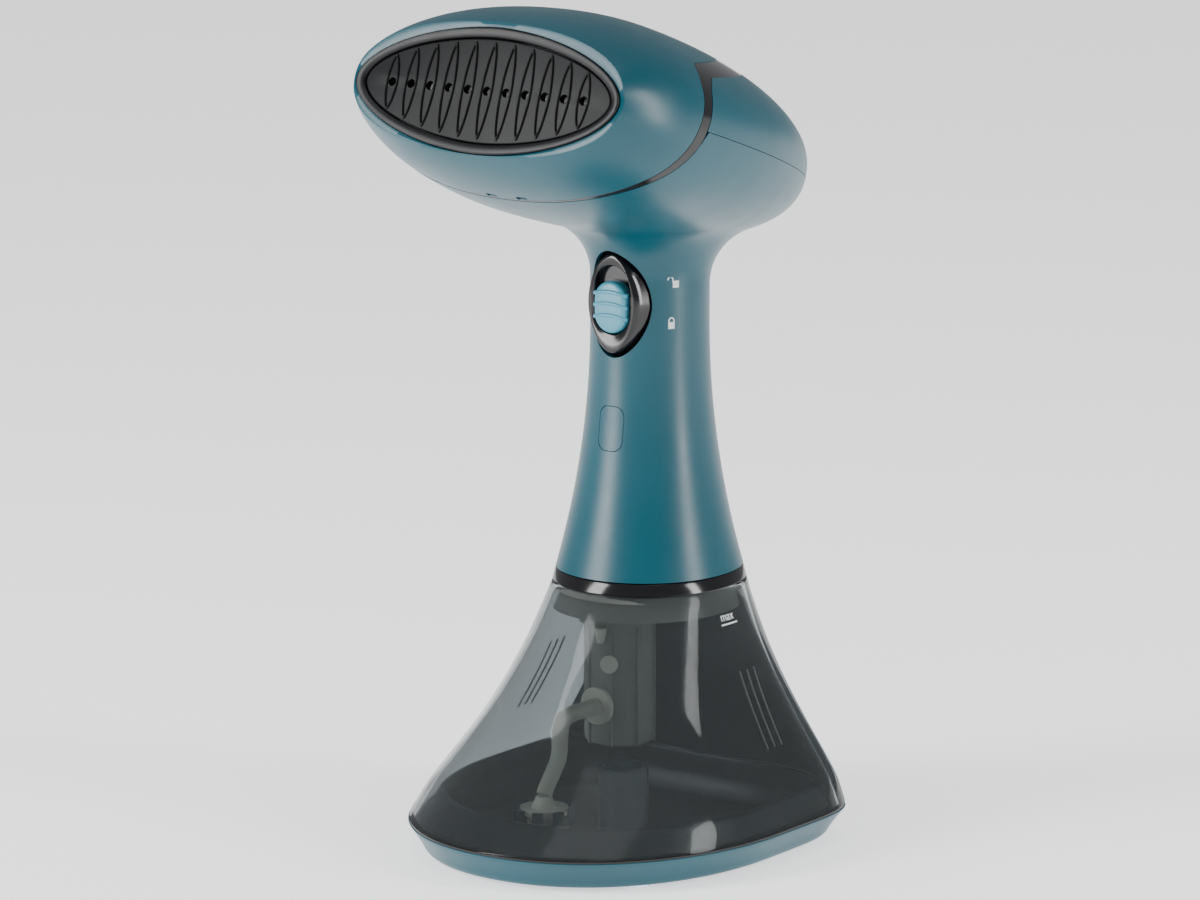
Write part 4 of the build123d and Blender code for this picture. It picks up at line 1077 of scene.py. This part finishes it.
class STEAMER_OT_trigger(bpy.types.Operator):
    """Steam trigger with the lock slider in its slot"""
    bl_idname = "steamer.trigger"
    bl_label = "Trigger and lock"

    def execute(self, context):
        angles = turn_steps(128)

        def almond(y, inset, share=1.0):
            wide = mix(TRIGGER_WIDE, TRIGGER_FACE_WIDE, share) - inset
            tall = mix(TRIGGER_HIGH, TRIGGER_FACE_HIGH, share) - inset
            return [Vector((x, y, z + TRIGGER_MIDDLE)) for x, z in (oval(t, wide, tall, tall,
                                                                         1.85) for t in angles)]

        def slot_ring(y, wide, tall, middle):
            return [Vector((x, y, z + middle)) for x, z in (stadium(t, wide, tall) for t in angles)]
        shoulder = HANDLE_FRONT + 5.0
        rows = [almond(TRIGGER_BACK, 2.5, 0.0), almond(TRIGGER_BACK, 0.0, 0.0), almond(shoulder, 0.0, 0.0)]
        rows += [almond(mix(shoulder, TRIGGER_FACE + 1.6, k / 4), 0.0, k / 4 * 0.8) for k in range(1, 5)]
        rows += [almond(TRIGGER_FACE + 0.8, 0.1), almond(TRIGGER_FACE + 0.3, 0.4), almond(TRIGGER_FACE + 0.05,
                                                                                          0.85),
                 almond(TRIGGER_FACE, 1.4)]
        rows += [slot_ring(TRIGGER_FACE + y, SLOT_WIDE + grow, SLOT_HIGH + grow, SLOT_MIDDLE) for y, grow in
                 ((0.25, 0.55), (0.4, 0.25), (0.75, 0.05), (1.2, 0.0), (SLOT_DEPTH - 0.4, 0.0), (SLOT_DEPTH,
                                                                                                 -0.4))]
        trigger = grid("trigger", rows, close_columns=True, cap_ends=True)
        finish_piece(trigger, gloss_black(), "gloss_black", "trigger", "trigger")

        face = TRIGGER_FACE - 1.2
        rows = [slot_ring(face + y, SLIDER_WIDE - inset, SLIDER_HIGH - inset, SLIDER_MIDDLE) for y, inset in
                ((SLOT_DEPTH + 0.9, 0.0), (1.7, 0.0), (0.9, 0.12), (0.35, 0.5), (0.08, 1.1), (0.0, 2.0),
                 (-0.1, 4.2))]
        parts = [grid("slider body", rows, close_columns=True, cap_ends=True)]
        for k in (-1, 0, 1):
            parts.append(grip_ridge(face, SLIDER_MIDDLE + 3.9 * k + 0.3))
        slider = join("lock slider", parts)
        finish_piece(slider, light_teal(), "light_teal", "lock_slider", "lock_slider", angle=45)
        return {"FINISHED"}


def grip_ridge(face, z):
    """A raised, arched ridge across the slider."""
    half = SLIDER_WIDE + 0.3
    section = [(1.4, 0.75), (0.0, 0.75), (-0.35, 0.6), (-0.58, 0.3), (-0.6, -0.05), (-0.3, -0.5), (0.15, -0.75), (1.4, -0.75)]
    rows = []
    for share in steps(33):
        x = mix(-half, half, share)
        arch = 1.0 * (1 - (x / half) ** 2)
        fall = 1.1 * abs(x / half) ** 4
        rows.append([(x, face + dy + fall, z + arch + dz) for dy, dz in section])
    return grid("grip ridge", rows, close_columns=True, cap_ends=True)


def collar_ring_points(angles, share, grow):
    flare = COLLAR_FLARE * share + grow
    return [oval(t, FOOT_RADIUS * WIDE + flare, FOOT_RADIUS * DEEP + flare, FOOT_RADIUS * DEEP + flare,
                 HANDLE_POWER)
            for t in angles]


class STEAMER_OT_collar(bpy.types.Operator):
    """Polished collar between the handle and the tank"""
    bl_idname = "steamer.collar"
    bl_label = "Collar"

    def execute(self, context):
        angles = turn_steps(192)
        top = Z_HANDLE
        sections = [(top - 0.25, 0.0, -0.25), (top - 0.6, 0.1, 0.0), (Z_COLLAR + 0.5, 1.0, 0.0),
                    (Z_COLLAR + 0.12, 1.0, -0.2),
                    (Z_COLLAR, 1.0, -0.5), (Z_COLLAR, 0.0, -5.2), (top + 2.5, 0.0, -5.2), (top + 2.5, 0.0,
                                                                                           -3.4),
                    (top - 0.2, 0.0, -3.4), (top - 0.2, 0.0, -0.5)]
        rows = [[(x, HANDLE_Y + y, z) for x, y in collar_ring_points(angles, share, grow)] for z, share,
                grow in sections]
        collar = grid("collar ring", rows, close_rows=True, close_columns=True)
        finish_piece(collar, gloss_black(), "gloss_black", "handle_unit", "collar_ring")
        return {"FINISHED"}


# ---- tank ----
FLARE_TABLE = smooth_line(FLARE)


def tank_sizes(z):
    """Half width, middle, front and rear of the tank at a height."""
    share = min(max((Z_TANK_TOP - z) / (Z_TANK_TOP - Z_SEAM), 0.0), 1.0)
    side, front = lookup(FLARE_TABLE, share, 0, 1), lookup(FLARE_TABLE, share, 0, 2)
    top_wide, top_deep = FOOT_RADIUS * WIDE + COLLAR_FLARE, FOOT_RADIUS * DEEP + COLLAR_FLARE
    return (mix(top_wide, BASE_WIDE, side), mix(HANDLE_Y, BASE_MIDDLE, side), mix(HANDLE_Y - top_deep,
                                                                                  -BASE_FRONT, front),
            mix(HANDLE_Y + top_deep, BASE_REAR, share), 2.1 + BOXINESS * side)


def tank_point(z, t, inset=0.0):
    wide, middle, front, rear, power = tank_sizes(z)
    x, y = oval(t, wide - inset, rear - middle - inset, middle - front - inset, power, 2.1)
    return Vector((x, middle + y, z))


def tank_side(z, y, inset=0.0):
    """The point on the right side of the tank at a height and a distance back."""
    wide, middle, front, rear, power = tank_sizes(z)
    reach, n = (rear - middle, power) if y > middle else (middle - front, 2.1)
    return Vector(((wide - inset) * (1 - (abs(y - middle) / reach) ** n) ** (1 / n), y, z))


GRIP_TOP_Y, GRIP_BOTTOM_Y, GRIP_STEP = 13.4, 11.6, 4.05


def panel_line(z):
    """How far back the rear panel begins at a height."""
    top = HANDLE_Y + FOOT_RADIUS * DEEP + COLLAR_FLARE - WRAP_TOP
    share = (Z_TANK_TOP - z) / (Z_TANK_TOP - Z_SEAM)
    return mix(top, BASE_REAR - WRAP_BOTTOM, share)


def panel_angle(z, inset, margin=0.0):
    return root_of(lambda t: tank_point(z, t, inset).y - panel_line(z) - margin, 0.0, pi / 2)


def front_arc(z, inset, count, margin=0.0):
    """From the panel's edge on the right, round the front, to its edge on the left."""
    t0 = panel_angle(z, inset, margin)
    return [tank_point(z, mix(t0, -pi - t0, share), inset) for share in steps(count)]


def rear_arc(z, inset, count, margin=0.0):
    t0 = panel_angle(z, inset, margin)
    return [tank_point(z, mix(pi - t0, t0, share), inset) for share in steps(count)]


def tank_levels(count, z0, z1):
    return [mix(z0, z1, share) for share in steps(count)]


def tank_ring(z, inset, step):
    return front_arc(z, inset, 160) + rear_arc(z, inset + step, 60)[1:-1]


def make_tank_shell():
    step = PANEL_WALL + 0.3
    levels = tank_levels(58, Z_TANK_TOP - 0.5, Z_SHELL + 0.3)
    rows = [tank_ring(Z_TANK_TOP, 0.5, step), tank_ring(Z_TANK_TOP - 0.12, 0.14, step)]
    rows += [tank_ring(z, 0.0, step) for z in levels]
    rows += [tank_ring(Z_SHELL, 0.3, step)]
    rows += [tank_ring(z, TANK_WALL, step) for z in [Z_SHELL] + levels[::-1] + [Z_TANK_TOP]]
    return grid("tank shell", rows, close_rows=True, close_columns=True)


def make_rear_panel():
    rows = []
    for z in [Z_SHELL + 0.05] + tank_levels(44, Z_SHELL + 0.4, Z_TANK_TOP - 0.4) + [Z_TANK_TOP - 0.05]:
        end = 0.3 if z in (Z_SHELL + 0.05, Z_TANK_TOP - 0.05) else 0.0
        outer = rear_arc(z, end, 72, 0.55)
        inner = rear_arc(z, PANEL_WALL, 72, 0.3)
        rows.append([rear_arc(z, 0.35, 72, 0.3)[0]] + outer + [rear_arc(z, 0.35, 72, 0.3)[-1]] + inner[::-1])
    panel = grid("rear panel", rows, close_columns=True)
    return cap_panel(panel)


def cap_panel(panel):
    """Close the two open ends of the wall."""
    work = bmesh.new()
    work.from_mesh(panel.data)
    rim = [edge for edge in work.edges if len(edge.link_faces) == 1]
    bmesh.ops.triangle_fill(work, use_beauty=True, edges=rim)
    bmesh.ops.recalc_face_normals(work, faces=work.faces)
    work.to_mesh(panel.data)
    work.free()
    return panel


class STEAMER_OT_tank(bpy.types.Operator):
    """See-through tank shell, teal rear panel and the grip lines on its sides"""
    bl_idname = "steamer.tank"
    bl_label = "Tank"

    def execute(self, context):
        finish_piece(make_tank_shell(), smoke_clear(), "smoke_clear", "tank_unit", "tank_shell", angle=45)
        finish_piece(make_rear_panel(), teal_body(), "teal_plastic", "tank_unit", "rear_panel", angle=40)
        setup = sizes()
        lines, edges = [], []
        for side in (-1, 1):
            for k in range(setup.groove_count):
                start = len(lines)
                for share in steps(30):
                    point = tank_side(mix(60.4, 36.0, share), mix(GRIP_TOP_Y, GRIP_BOTTOM_Y,
                                                                  share) + GRIP_STEP * k, 0.16)
                    lines.append((side * point.x, point.y, point.z))
                edges += [(start + i, start + i + 1) for i in range(29)]
        grips = new_object("grip lines", lines, [], edges)
        run_tree(grips, rib_tree(), Radius=setup.groove_radius, Material=smoke_inner())
        # The moulded grip lines in the clear wall get a near-black painted shade as their colour.
        finish_piece(grips, grip_line_painted_shade(), "smoke_clear", "tank_unit", angle=60)
        return {"FINISHED"}


# Near-black painted shade for the grip lines on the tank.
def grip_line_painted_shade():
    return moulded("shadowed grip line", (0.035, 0.038, 0.04, 1.0), 0.3)


# ---- base ----
def base_outline(inset, count=220):
    return [(x, BASE_MIDDLE + y) for x, y in (oval(t, BASE_WIDE - inset, BASE_REAR - BASE_MIDDLE - inset,
            BASE_MIDDLE + BASE_FRONT - inset, 2.1 + BOXINESS, 2.1) for t in turn_steps(count))]


TRAY_TUCK = 5.6
TRAY_WALL = 2.2
UPSTAND = 8.0


class STEAMER_OT_base(bpy.types.Operator):
    """Base tray with its upstand inside the tank, the gasket and the feet"""
    bl_idname = "steamer.base"
    bl_label = "Base"

    def execute(self, context):
        count = 220
        step = TANK_WALL + PANEL_WALL + 0.6

        def level(z, inset):
            return [(x, y, z) for x, y in base_outline(inset, count)]

        def lining(z, inset):
            return [tank_point(z, t, inset) for t in turn_steps(count)]
        wall = [(Z_TRAY, TRAY_TUCK + 2.2), (Z_TRAY, TRAY_TUCK + 1.2), (Z_TRAY + 0.15, TRAY_TUCK + 0.55),
                (Z_TRAY + 0.55, TRAY_TUCK + 0.05), (Z_TRAY + 1.2, TRAY_TUCK - 0.5)]
        wall += [(mix(Z_TRAY + 1.2, Z_SEAM - 0.5, k / 6), mix(TRAY_TUCK - 0.5, 0.25,
                                                              (k / 6) ** 1.15)) for k in range(1, 7)]
        wall += [(Z_SEAM - 0.15, 0.12), (Z_SEAM, 0.4)]
        rows = [level(z, inset) for z, inset in wall]
        top = Z_SEAM + UPSTAND
        rows.append(level(Z_SEAM, step))
        rows += [lining(z, step) for z in tank_levels(10, Z_SEAM + 0.3, top - 0.4)]
        rows += [lining(top, step + 0.4), lining(top, step + TRAY_WALL - 0.4)]
        rows += [lining(z, step + TRAY_WALL) for z in tank_levels(8, top - 0.4, Z_SEAM)]
        rows += [level(Z_TRAY + TRAY_WALL + 1.5, step + TRAY_WALL + 2.0), level(Z_TRAY + TRAY_WALL,
                                                                                step + TRAY_WALL + 4.5),
                 level(Z_TRAY + TRAY_WALL, step + TRAY_WALL + 12.0)]
        tray = grid("base tray", rows, close_columns=True, cap_ends=True)
        finish_piece(tray, teal_body(), "teal_plastic", "tank_unit", "base_tray", angle=50)
        # Second material for the tray's inner floor and upstand: near-black painted shade laid over the teal moulding,
        # standing in for the shade inside the tank.
        tray.data.materials.append(painted_shade_lining())
        for face in tray.data.polygons:
            inside = abs(face.center.x) < (BASE_WIDE - 3) * MM and -(BASE_FRONT - 3) * MM < face.center.y < (BASE_REAR - 3) * MM
            face.material_index = int(inside and face.center.z > (Z_TRAY + 1.5) * MM and not outer_wall(face.center))

        seal = [(Z_SEAM, 0.45), (Z_SHELL, 0.45), (Z_SHELL, step), (Z_SEAM, step)]
        gasket = grid("base gasket", [level(z, inset) for z, inset in seal], close_rows=True,
                      close_columns=True)
        finish_piece(gasket, gloss_black(), "black_rubber", "tank_unit", "base_gasket")

        reach = 5.0
        feet = []
        low_corner, high_corner = low("feet"), high("feet")
        for x in (low_corner.x + reach, high_corner.x - reach):
            for y in (low_corner.y + reach, high_corner.y - reach):
                sections = [(reach - 1.2, 0.0), (reach - 0.55, 0.12), (reach - 0.15, 0.5), (reach, 1.0),
                            (reach, 2.45)]
                feet.append(grid("foot", [[(x + r * cos(t), y + r * sin(t), z) for t in turn_steps(40)] for r,
                                          z in sections],
                                 close_columns=True, cap_ends=True))
        finish_piece(join("feet", feet), foot_rubber(), "clear_rubber", "tank_unit", "feet")
        return {"FINISHED"}


def outer_wall(point):
    """Whether a point is on the tray's outside wall, below the seam."""
    x, y = point.x / MM, point.y / MM - BASE_MIDDLE
    reach, n = (BASE_REAR - BASE_MIDDLE, 2.1 + BOXINESS) if y > 0 else (BASE_MIDDLE + BASE_FRONT, 2.1)
    reach, wide = reach - 6.5, BASE_WIDE - 6.5
    return point.z < (Z_SEAM + 0.2) * MM and abs(x / wide) ** n + abs(y / reach) ** n > 1.0


# Near-black painted shade for the inside of the teal tray.
def painted_shade_lining():
    return moulded("tray lining painted shade", (0.012, 0.020, 0.023, 1.0), 0.35)


def foot_rubber():
    material = clear_plastic("clear soft feet", (0.72, 0.84, 0.88, 1.0), 0.12, 0.6)
    return material


# ---- fittings inside the tank ----
COLUMN_Y = (low("column").y + high("column").y) / 2
COLUMN_RADIUS = 11.5
ELBOW_Z = (low("hose_flange").z + high("hose_flange").z) / 2


def lathe(name, x, y, sections, count=48, closed=False):
    """A turned piece about an upright axis, from (radius, height) sections."""
    rows = [[(x + r * cos(t), y + r * sin(t), z) for t in turn_steps(count)] for r, z in sections]
    return grid(name, rows, close_rows=closed, close_columns=True, cap_ends=not closed)


def lathe_y(name, x, z, sections, count=40, closed=False):
    """A turned piece about an axis along Y, from (radius, y) sections."""
    rows = [[(x + r * cos(t), y, z + r * sin(t)) for t in turn_steps(count)] for r, y in sections]
    return grid(name, rows, close_rows=closed, close_columns=True, cap_ends=not closed)


class STEAMER_OT_fittings(bpy.types.Operator):
    """Ribbed column, hose and filter seat inside the tank"""
    bl_idname = "steamer.fittings"
    bl_label = "Tank fittings"

    def execute(self, context):
        self.make_column()
        self.make_hose()
        self.make_crown()
        return {"FINISHED"}

    def make_column(self):
        z0, z1 = low("column").z, high("column").z
        r = COLUMN_RADIUS
        wall = [(r - 1.6, z1), (r, z1), (r, z0 + 0.8), (r - 0.8, z0), (0.5, z0), (0.5, z0 + 2.0), (r - 2.2,
                                                                                                   z0 + 2.0),
                (r - 1.6, z0 + 2.8)]
        tube = lathe("column", 0, COLUMN_Y, wall, closed=True)
        rib = box_at("rib", Vector((r + 0.25, 0, (z0 + z1) / 2)), 0.9, 1.0, z1 - z0)
        run_tree(rib, ring_tree(), Count=sizes().column_ribs, Material=smoke_inner())
        rib.data.transform(Matrix.Translation((0, COLUMN_Y * MM, 0)))
        finish_piece(join("column", [tube, rib]), smoke_inner(), "smoke_inner", "tank_unit", "column")

    def make_hose(self):
        front = high("hose_flange").y
        thick = [(6.4, front), (6.4, front - 1.1), (6.1, front - 1.5), (3.1, front - 1.5), (3.1, front)]
        flange = lathe_y("hose flange", 0, ELBOW_Z, thick, closed=True)
        finish_piece(flange, cream_plastic(), "white_plastic", "tank_unit", "hose_flange")
        spout = [(3.0, front + 0.6), (3.0, front - 2.6), (2.7, front - 3.1), (2.0, front - 3.3), (2.0, front - 6.5)]
        finish_piece(lathe_y("hose spout", 0, ELBOW_Z, spout), cream_plastic(), "white_plastic", "tank_unit",
                     "hose_spout")
        x0, x1 = low("suction_hose"), high("suction_hose")
        path = [Vector((0, x1.y, ELBOW_Z)), Vector((0, x1.y - 6, ELBOW_Z)), Vector((0, x1.y - 11, ELBOW_Z)),
                Vector((0, -31.0, ELBOW_Z - 1.2)), Vector((0, -33.0, ELBOW_Z - 6.0)), Vector((0, -33.5, ELBOW_Z - 12.0)),
                Vector((0, -35.5, 32.0)), Vector((0, -40.5, 26.0)), Vector((0, -42.0, x0.z + 0.6))]
        hose = tube_along("suction hose", path, 2.7)
        finish_piece(hose, silicone(), "silicone", "tank_unit", "suction_hose", angle=60)

    def make_crown(self):
        seat_low, seat_high = low("filter_crown"), high("filter_crown")
        x, y = 0.0, (seat_low.y + seat_high.y) / 2
        z0, z1 = seat_low.z, seat_high.z
        r = 10.0
        cup = lathe("filter crown", x, y, [(r - 0.4, z0), (r, z0 + 0.4), (r, z1 - 5.6), (r - 1.6, z1 - 5.6),
                                           (r - 1.6, z0 + 8.0), (0.5, z0 + 8.0), (0.5, z0)], closed=True)
        post = box_at("post", Vector((r - 0.8, 0, z1 - 3.0)), 1.6, 3.4, 6.0)
        run_tree(post, ring_tree(), Count=sizes().crown_posts, Material=dark_teal())
        post.data.transform(Matrix.Translation((0, y * MM, 0)))
        finish_piece(join("filter crown", [cup, post]), dark_teal(), "dark_teal", "tank_unit", "filter_crown")


def tube_along(name, path, radius, sides=24):
    """A solid round tube along a smooth curve through given points."""
    fine = []
    last = len(path) - 1
    for i in range(last):
        p0, p1, p2, p3 = (path[max(min(k, last), 0)] for k in (i - 1, i, i + 1, i + 2))
        for k in range(10):
            w = k / 10
            fine.append(0.5 * (2 * p1 + (p2 - p0) * w + (2 * p0 - 5 * p1 + 4 * p2 - p3) * w * w
                               + (3 * p1 - p0 - 3 * p2 + p3) * w ** 3))
    fine.append(path[-1])
    rows = []
    side = Vector((1, 0, 0))
    for i, point in enumerate(fine):
        ahead = (fine[min(i + 1, len(fine) - 1)] - fine[max(i - 1, 0)]).normalized()
        other = ahead.cross(side).normalized()
        rows.append([point + side * (radius * cos(t)) + other * (radius * sin(t)) for t in turn_steps(sides)])
    return grid(name, rows, close_columns=True, cap_ends=True)


# ---- printed marks ----
class STEAMER_OT_marks(bpy.types.Operator):
    """Fill mark on the tank and the two padlock signs on the handle"""
    bl_idname = "steamer.marks"
    bl_label = "Printed marks"

    def execute(self, context):
        parts = [text_shape("max", 4.1)]
        parts.append(flat_shape([(-0.2, -1.45), (8.3, -1.45), (8.3, -0.95), (-0.2, -0.95)]))
        mark = join("fill mark", parts)
        wrap(mark, lambda u, v: tank_mark_point(u, v))
        finish_piece(mark, printed(), "white_plastic", "tank_unit", angle=60)
        signs = []
        for z, opened in ((TRIGGER_MIDDLE + 6.8, True), (TRIGGER_MIDDLE - 6.9, False)):
            signs.append(move_flat(padlock(opened), 1.6 if opened else 0.0, z))
        lock = join("lock marks", signs)
        wrap(lock, lambda u, v: handle_mark_point(u, v))
        finish_piece(lock, printed(), "white_plastic", "handle_unit", angle=60)
        return {"FINISHED"}


def tank_mark_point(u, v):
    z, y = MARK_Z + v, MARK_Y + u
    here = tank_side(z, y)
    return here, (tank_side(z, y + 0.2) - here).cross(tank_side(z + 0.2, y) - here).normalized()


MARK_Y, MARK_Z = 11.3, 76.9


def handle_mark_point(u, z):
    angle = -0.585 + u / handle_radius(z)
    here = handle_point(z, angle)
    normal = (handle_point(z, angle + 0.01) - here).cross(handle_point(z + 0.2, angle) - here).normalized()
    return here, normal


def text_shape(words, size):
    curve = bpy.data.curves.new(words, "FONT")
    curve.body = words
    curve.size = size
    curve.resolution_u = 4
    holder = bpy.data.objects.new(words, curve)
    bpy.context.scene.collection.objects.link(holder)
    graph = bpy.context.evaluated_depsgraph_get()
    mesh = bpy.data.meshes.new_from_object(holder.evaluated_get(graph))
    bpy.data.objects.remove(holder)
    piece = bpy.data.objects.new(words, mesh)
    bpy.context.scene.collection.objects.link(piece)
    return piece


def flat_shape(outline):
    mesh = bpy.data.meshes.new("flat")
    mesh.from_pydata([(x, y, 0.0) for x, y in outline], [], [tuple(range(len(outline)))])
    piece = bpy.data.objects.new("flat", mesh)
    bpy.context.scene.collection.objects.link(piece)
    return piece


def move_flat(piece, x, y):
    piece.data.transform(Matrix.Translation((x, y, 0)))
    return piece


def padlock(opened):
    """A plain padlock sign, with its bow closed or swung open to the left."""
    parts = [flat_shape([(-1.15, -1.3), (1.15, -1.3), (1.15, 1.0), (-1.15, 1.0)])]
    bow_x = -2.0 if opened else 0.0
    inner, outer = 0.72, 1.12
    count = 14
    points = [(bow_x + r * cos(pi * k / count), 1.0 + 0.35 + r * 1.15 * sin(pi * k / count)) for r in (inner,
                                                                                                       outer)
              for k in range(count + 1)]
    for k in range(count):
        parts.append(flat_shape([points[k], points[k + 1], points[count + 2 + k], points[count + 1 + k]]))
    for x in ((bow_x + inner, bow_x + outer),) if opened else ((inner, outer), (-outer, -inner)):
        parts.append(flat_shape([(x[0], 0.6), (x[1], 0.6), (x[1], 1.36), (x[0], 1.36)]))
    return join("padlock", parts)


def wrap(piece, surface):
    """Lay a flat mesh (in millimetres) on a curved surface as a thin closed layer of print."""
    work = bmesh.new()
    work.from_mesh(piece.data)
    bmesh.ops.remove_doubles(work, verts=work.verts, dist=0.001)
    bmesh.ops.triangulate(work, faces=work.faces)
    long_edges = [edge for edge in work.edges if edge.calc_length() > 0.8]
    bmesh.ops.subdivide_edges(work, edges=long_edges, cuts=3, use_grid_fill=False)
    bmesh.ops.triangulate(work, faces=work.faces)
    grown = bmesh.ops.extrude_face_region(work, geom=work.faces[:])
    lifted = {vertex for vertex in grown["geom"] if isinstance(vertex, bmesh.types.BMVert)}
    for vertex in work.verts:
        here, normal = surface(vertex.co.x, vertex.co.y)
        vertex.co = (here + normal * (0.05 if vertex in lifted else -0.02)) * MM
    bmesh.ops.recalc_face_normals(work, faces=work.faces)
    work.to_mesh(piece.data)
    work.free()


# ---- finishes for the CAD nodes that stay ----
class STEAMER_OT_finishes(bpy.types.Operator):
    """Finishes for every inner part that keeps its own shape"""
    bl_idname = "steamer.finishes"
    bl_label = "Inner finishes"

    def execute(self, context):
        steel = metal("plated steel", (0.56, 0.56, 0.57, 1.0), 0.28)
        cast = metal("cast aluminium", (0.62, 0.62, 0.63, 1.0), 0.48, 900.0)
        brass = metal("brass contact", (0.75, 0.52, 0.22, 1.0), 0.3)
        by_slot = {
            "smoke_inner": smoke_inner(), "smoke_clear": smoke_clear(), "teal_plastic": teal_body(), "teal_lens": teal_body(),
            "light_teal": light_teal(), "dark_teal": dark_teal(), "gloss_black": gloss_black(), "satin_black": satin_black(),
            "plate_charcoal": charcoal_coat(), "white_plastic": cream_plastic(), "silicone": silicone(), "steel": steel,
            "contact_brass": brass, "cast_aluminium": cast, "clear_rubber": foot_rubber(),
            "black_plastic": moulded("black inner plastic", (0.012, 0.012, 0.013, 1.0), 0.45),
            "black_rubber": moulded("black rubber", (0.010, 0.010, 0.010, 1.0), 0.6, grain=0.25),
            "light_plastic": moulded("pale plastic", (0.6, 0.6, 0.6, 1.0), 0.4),
            "coil_copper": moulded("taped coil", (0.30, 0.10, 0.04, 1.0), 0.5, spread=0.15),
            "board_green": moulded("circuit board", (0.015, 0.12, 0.05, 1.0), 0.4, spread=0.2),
            "led_clear": moulded("lamp", (0.75, 0.82, 0.88, 1.0), 0.2),
        }
        slots = {item["node"]: item["material_slot"] for item in frame["record"]["subparts"]}
        for name, node in frame["nodes"].items():
            node.data.materials.clear()
            node.data.materials.append(by_slot[slots[name]])
        return {"FINISHED"}


# ---- stage ----
class STEAMER_OT_stage(bpy.types.Operator):
    """Camera, soft studio light and a pale floor"""
    bl_idname = "steamer.stage"
    bl_label = "Stage"

    def execute(self, context):
        self.make_camera()
        self.make_floor()
        self.make_lights()
        return {"FINISHED"}

    def make_camera(self):
        turn, lift, distance = radians(36.0), radians(11.5), 1.914
        right = Vector((cos(turn), sin(turn), 0))
        back = Vector((sin(turn) * cos(lift), -cos(turn) * cos(lift), sin(lift)))
        target = right * 0.0013 + Vector((0, -0.013, 0.1351))
        camera = bpy.data.objects.new("Camera", bpy.data.cameras.new("Camera"))
        camera.data.lens = 174.0
        camera.data.sensor_width = 36.0
        camera.data.clip_start, camera.data.clip_end = 0.05, 20.0
        camera.location = target + back * distance
        camera.rotation_euler = back.to_track_quat("Z", "Y").to_euler()
        bpy.context.scene.collection.objects.link(camera)
        bpy.context.scene.camera = camera

    def make_floor(self):
        self.panel("floor", [(-6, -6, 0), (6, -6, 0), (6, 6, 0), (-6, 6, 0)], (0.90, 0.90, 0.90, 1.0), 1.0)

    def panel(self, name, corners, tone, glow):
        mesh = bpy.data.meshes.new(name)
        mesh.from_pydata(corners, [], [(0, 1, 2, 3)])
        sheet = bpy.data.objects.new(name, mesh)
        bpy.context.scene.collection.objects.link(sheet)
        material, tree, shader = node_material("pale " + name)
        speckle = object_noise(tree, 3.0, 2.0)
        tree.links.new(blend_colour(tree, speckle, shade(tone, 0.99), tone), shader.inputs["Base Color"])
        shader.inputs["Roughness"].default_value = 0.6
        shader.inputs["Emission Color"].default_value = (1.0, 1.0, 1.0, 1.0)
        shader.inputs["Emission Strength"].default_value = glow
        mesh.materials.append(material)

    def make_lights(self):
        world = bpy.data.worlds.new("studio")
        world.use_nodes = True
        world.node_tree.nodes["Background"].inputs["Color"].default_value = (0.95, 0.97, 1.0, 1.0)
        world.node_tree.nodes["Background"].inputs["Strength"].default_value = 0.38
        bpy.context.scene.world = world
        self.softbox("left softbox", (-0.9, -1.5, 0.7), (0.0, 0.0, 0.15), 0.55, 1.5, 46.0)
        self.softbox("right strip", (1.5, 0.35, 0.55), (0.0, 0.02, 0.15), 0.28, 1.3, 22.0)
        self.softbox("top softbox", (0.1, -0.2, 1.9), (0.0, 0.0, 0.2), 1.2, 1.2, 9.0)

    def softbox(self, name, place, aim, wide, tall, power):
        light = bpy.data.lights.new(name, "AREA")
        light.shape = "RECTANGLE"
        light.size, light.size_y = wide, tall
        light.energy = power
        holder = bpy.data.objects.new(name, light)
        holder.location = place
        holder.rotation_euler = (Vector(place) - Vector(aim)).to_track_quat("Z", "Y").to_euler()
        bpy.context.scene.collection.objects.link(holder)


OPERATORS = (STEAMER_OT_stage, STEAMER_OT_finishes, STEAMER_OT_head, STEAMER_OT_housing, STEAMER_OT_lens,
             STEAMER_OT_face,
             STEAMER_OT_trigger, STEAMER_OT_collar, STEAMER_OT_tank, STEAMER_OT_base, STEAMER_OT_fittings,
             STEAMER_OT_marks)


class STEAMER_PT_panel(bpy.types.Panel):
    """Lists the steamer's settings and pieces"""
    bl_label = "Garment steamer"
    bl_idname = "STEAMER_PT_panel"
    bl_space_type = "VIEW_3D"
    bl_region_type = "UI"
    bl_category = "Steamer"

    def draw(self, context):
        for group in (context.scene.steamer_colours, context.scene.steamer_sizes):
            for name in group.bl_rna.properties.keys():
                if name not in ("rna_type", "name"):
                    self.layout.prop(group, name)
        for operator in OPERATORS:
            self.layout.operator(operator.bl_idname)


CLASSES = (SteamerColours, SteamerSizes) + OPERATORS + (STEAMER_PT_panel,)


def register():
    for item in CLASSES:
        bpy.utils.register_class(item)
    bpy.types.Scene.steamer_colours = bpy.props.PointerProperty(type=SteamerColours)
    bpy.types.Scene.steamer_sizes = bpy.props.PointerProperty(type=SteamerSizes)


def unregister():
    del bpy.types.Scene.steamer_sizes
    del bpy.types.Scene.steamer_colours
    for item in reversed(CLASSES):
        bpy.utils.unregister_class(item)


def main():
    register()
    for operator in OPERATORS:
        area, call = operator.bl_idname.split(".")
        getattr(getattr(bpy.ops, area), call)()


if __name__ == "__main__":
    main()
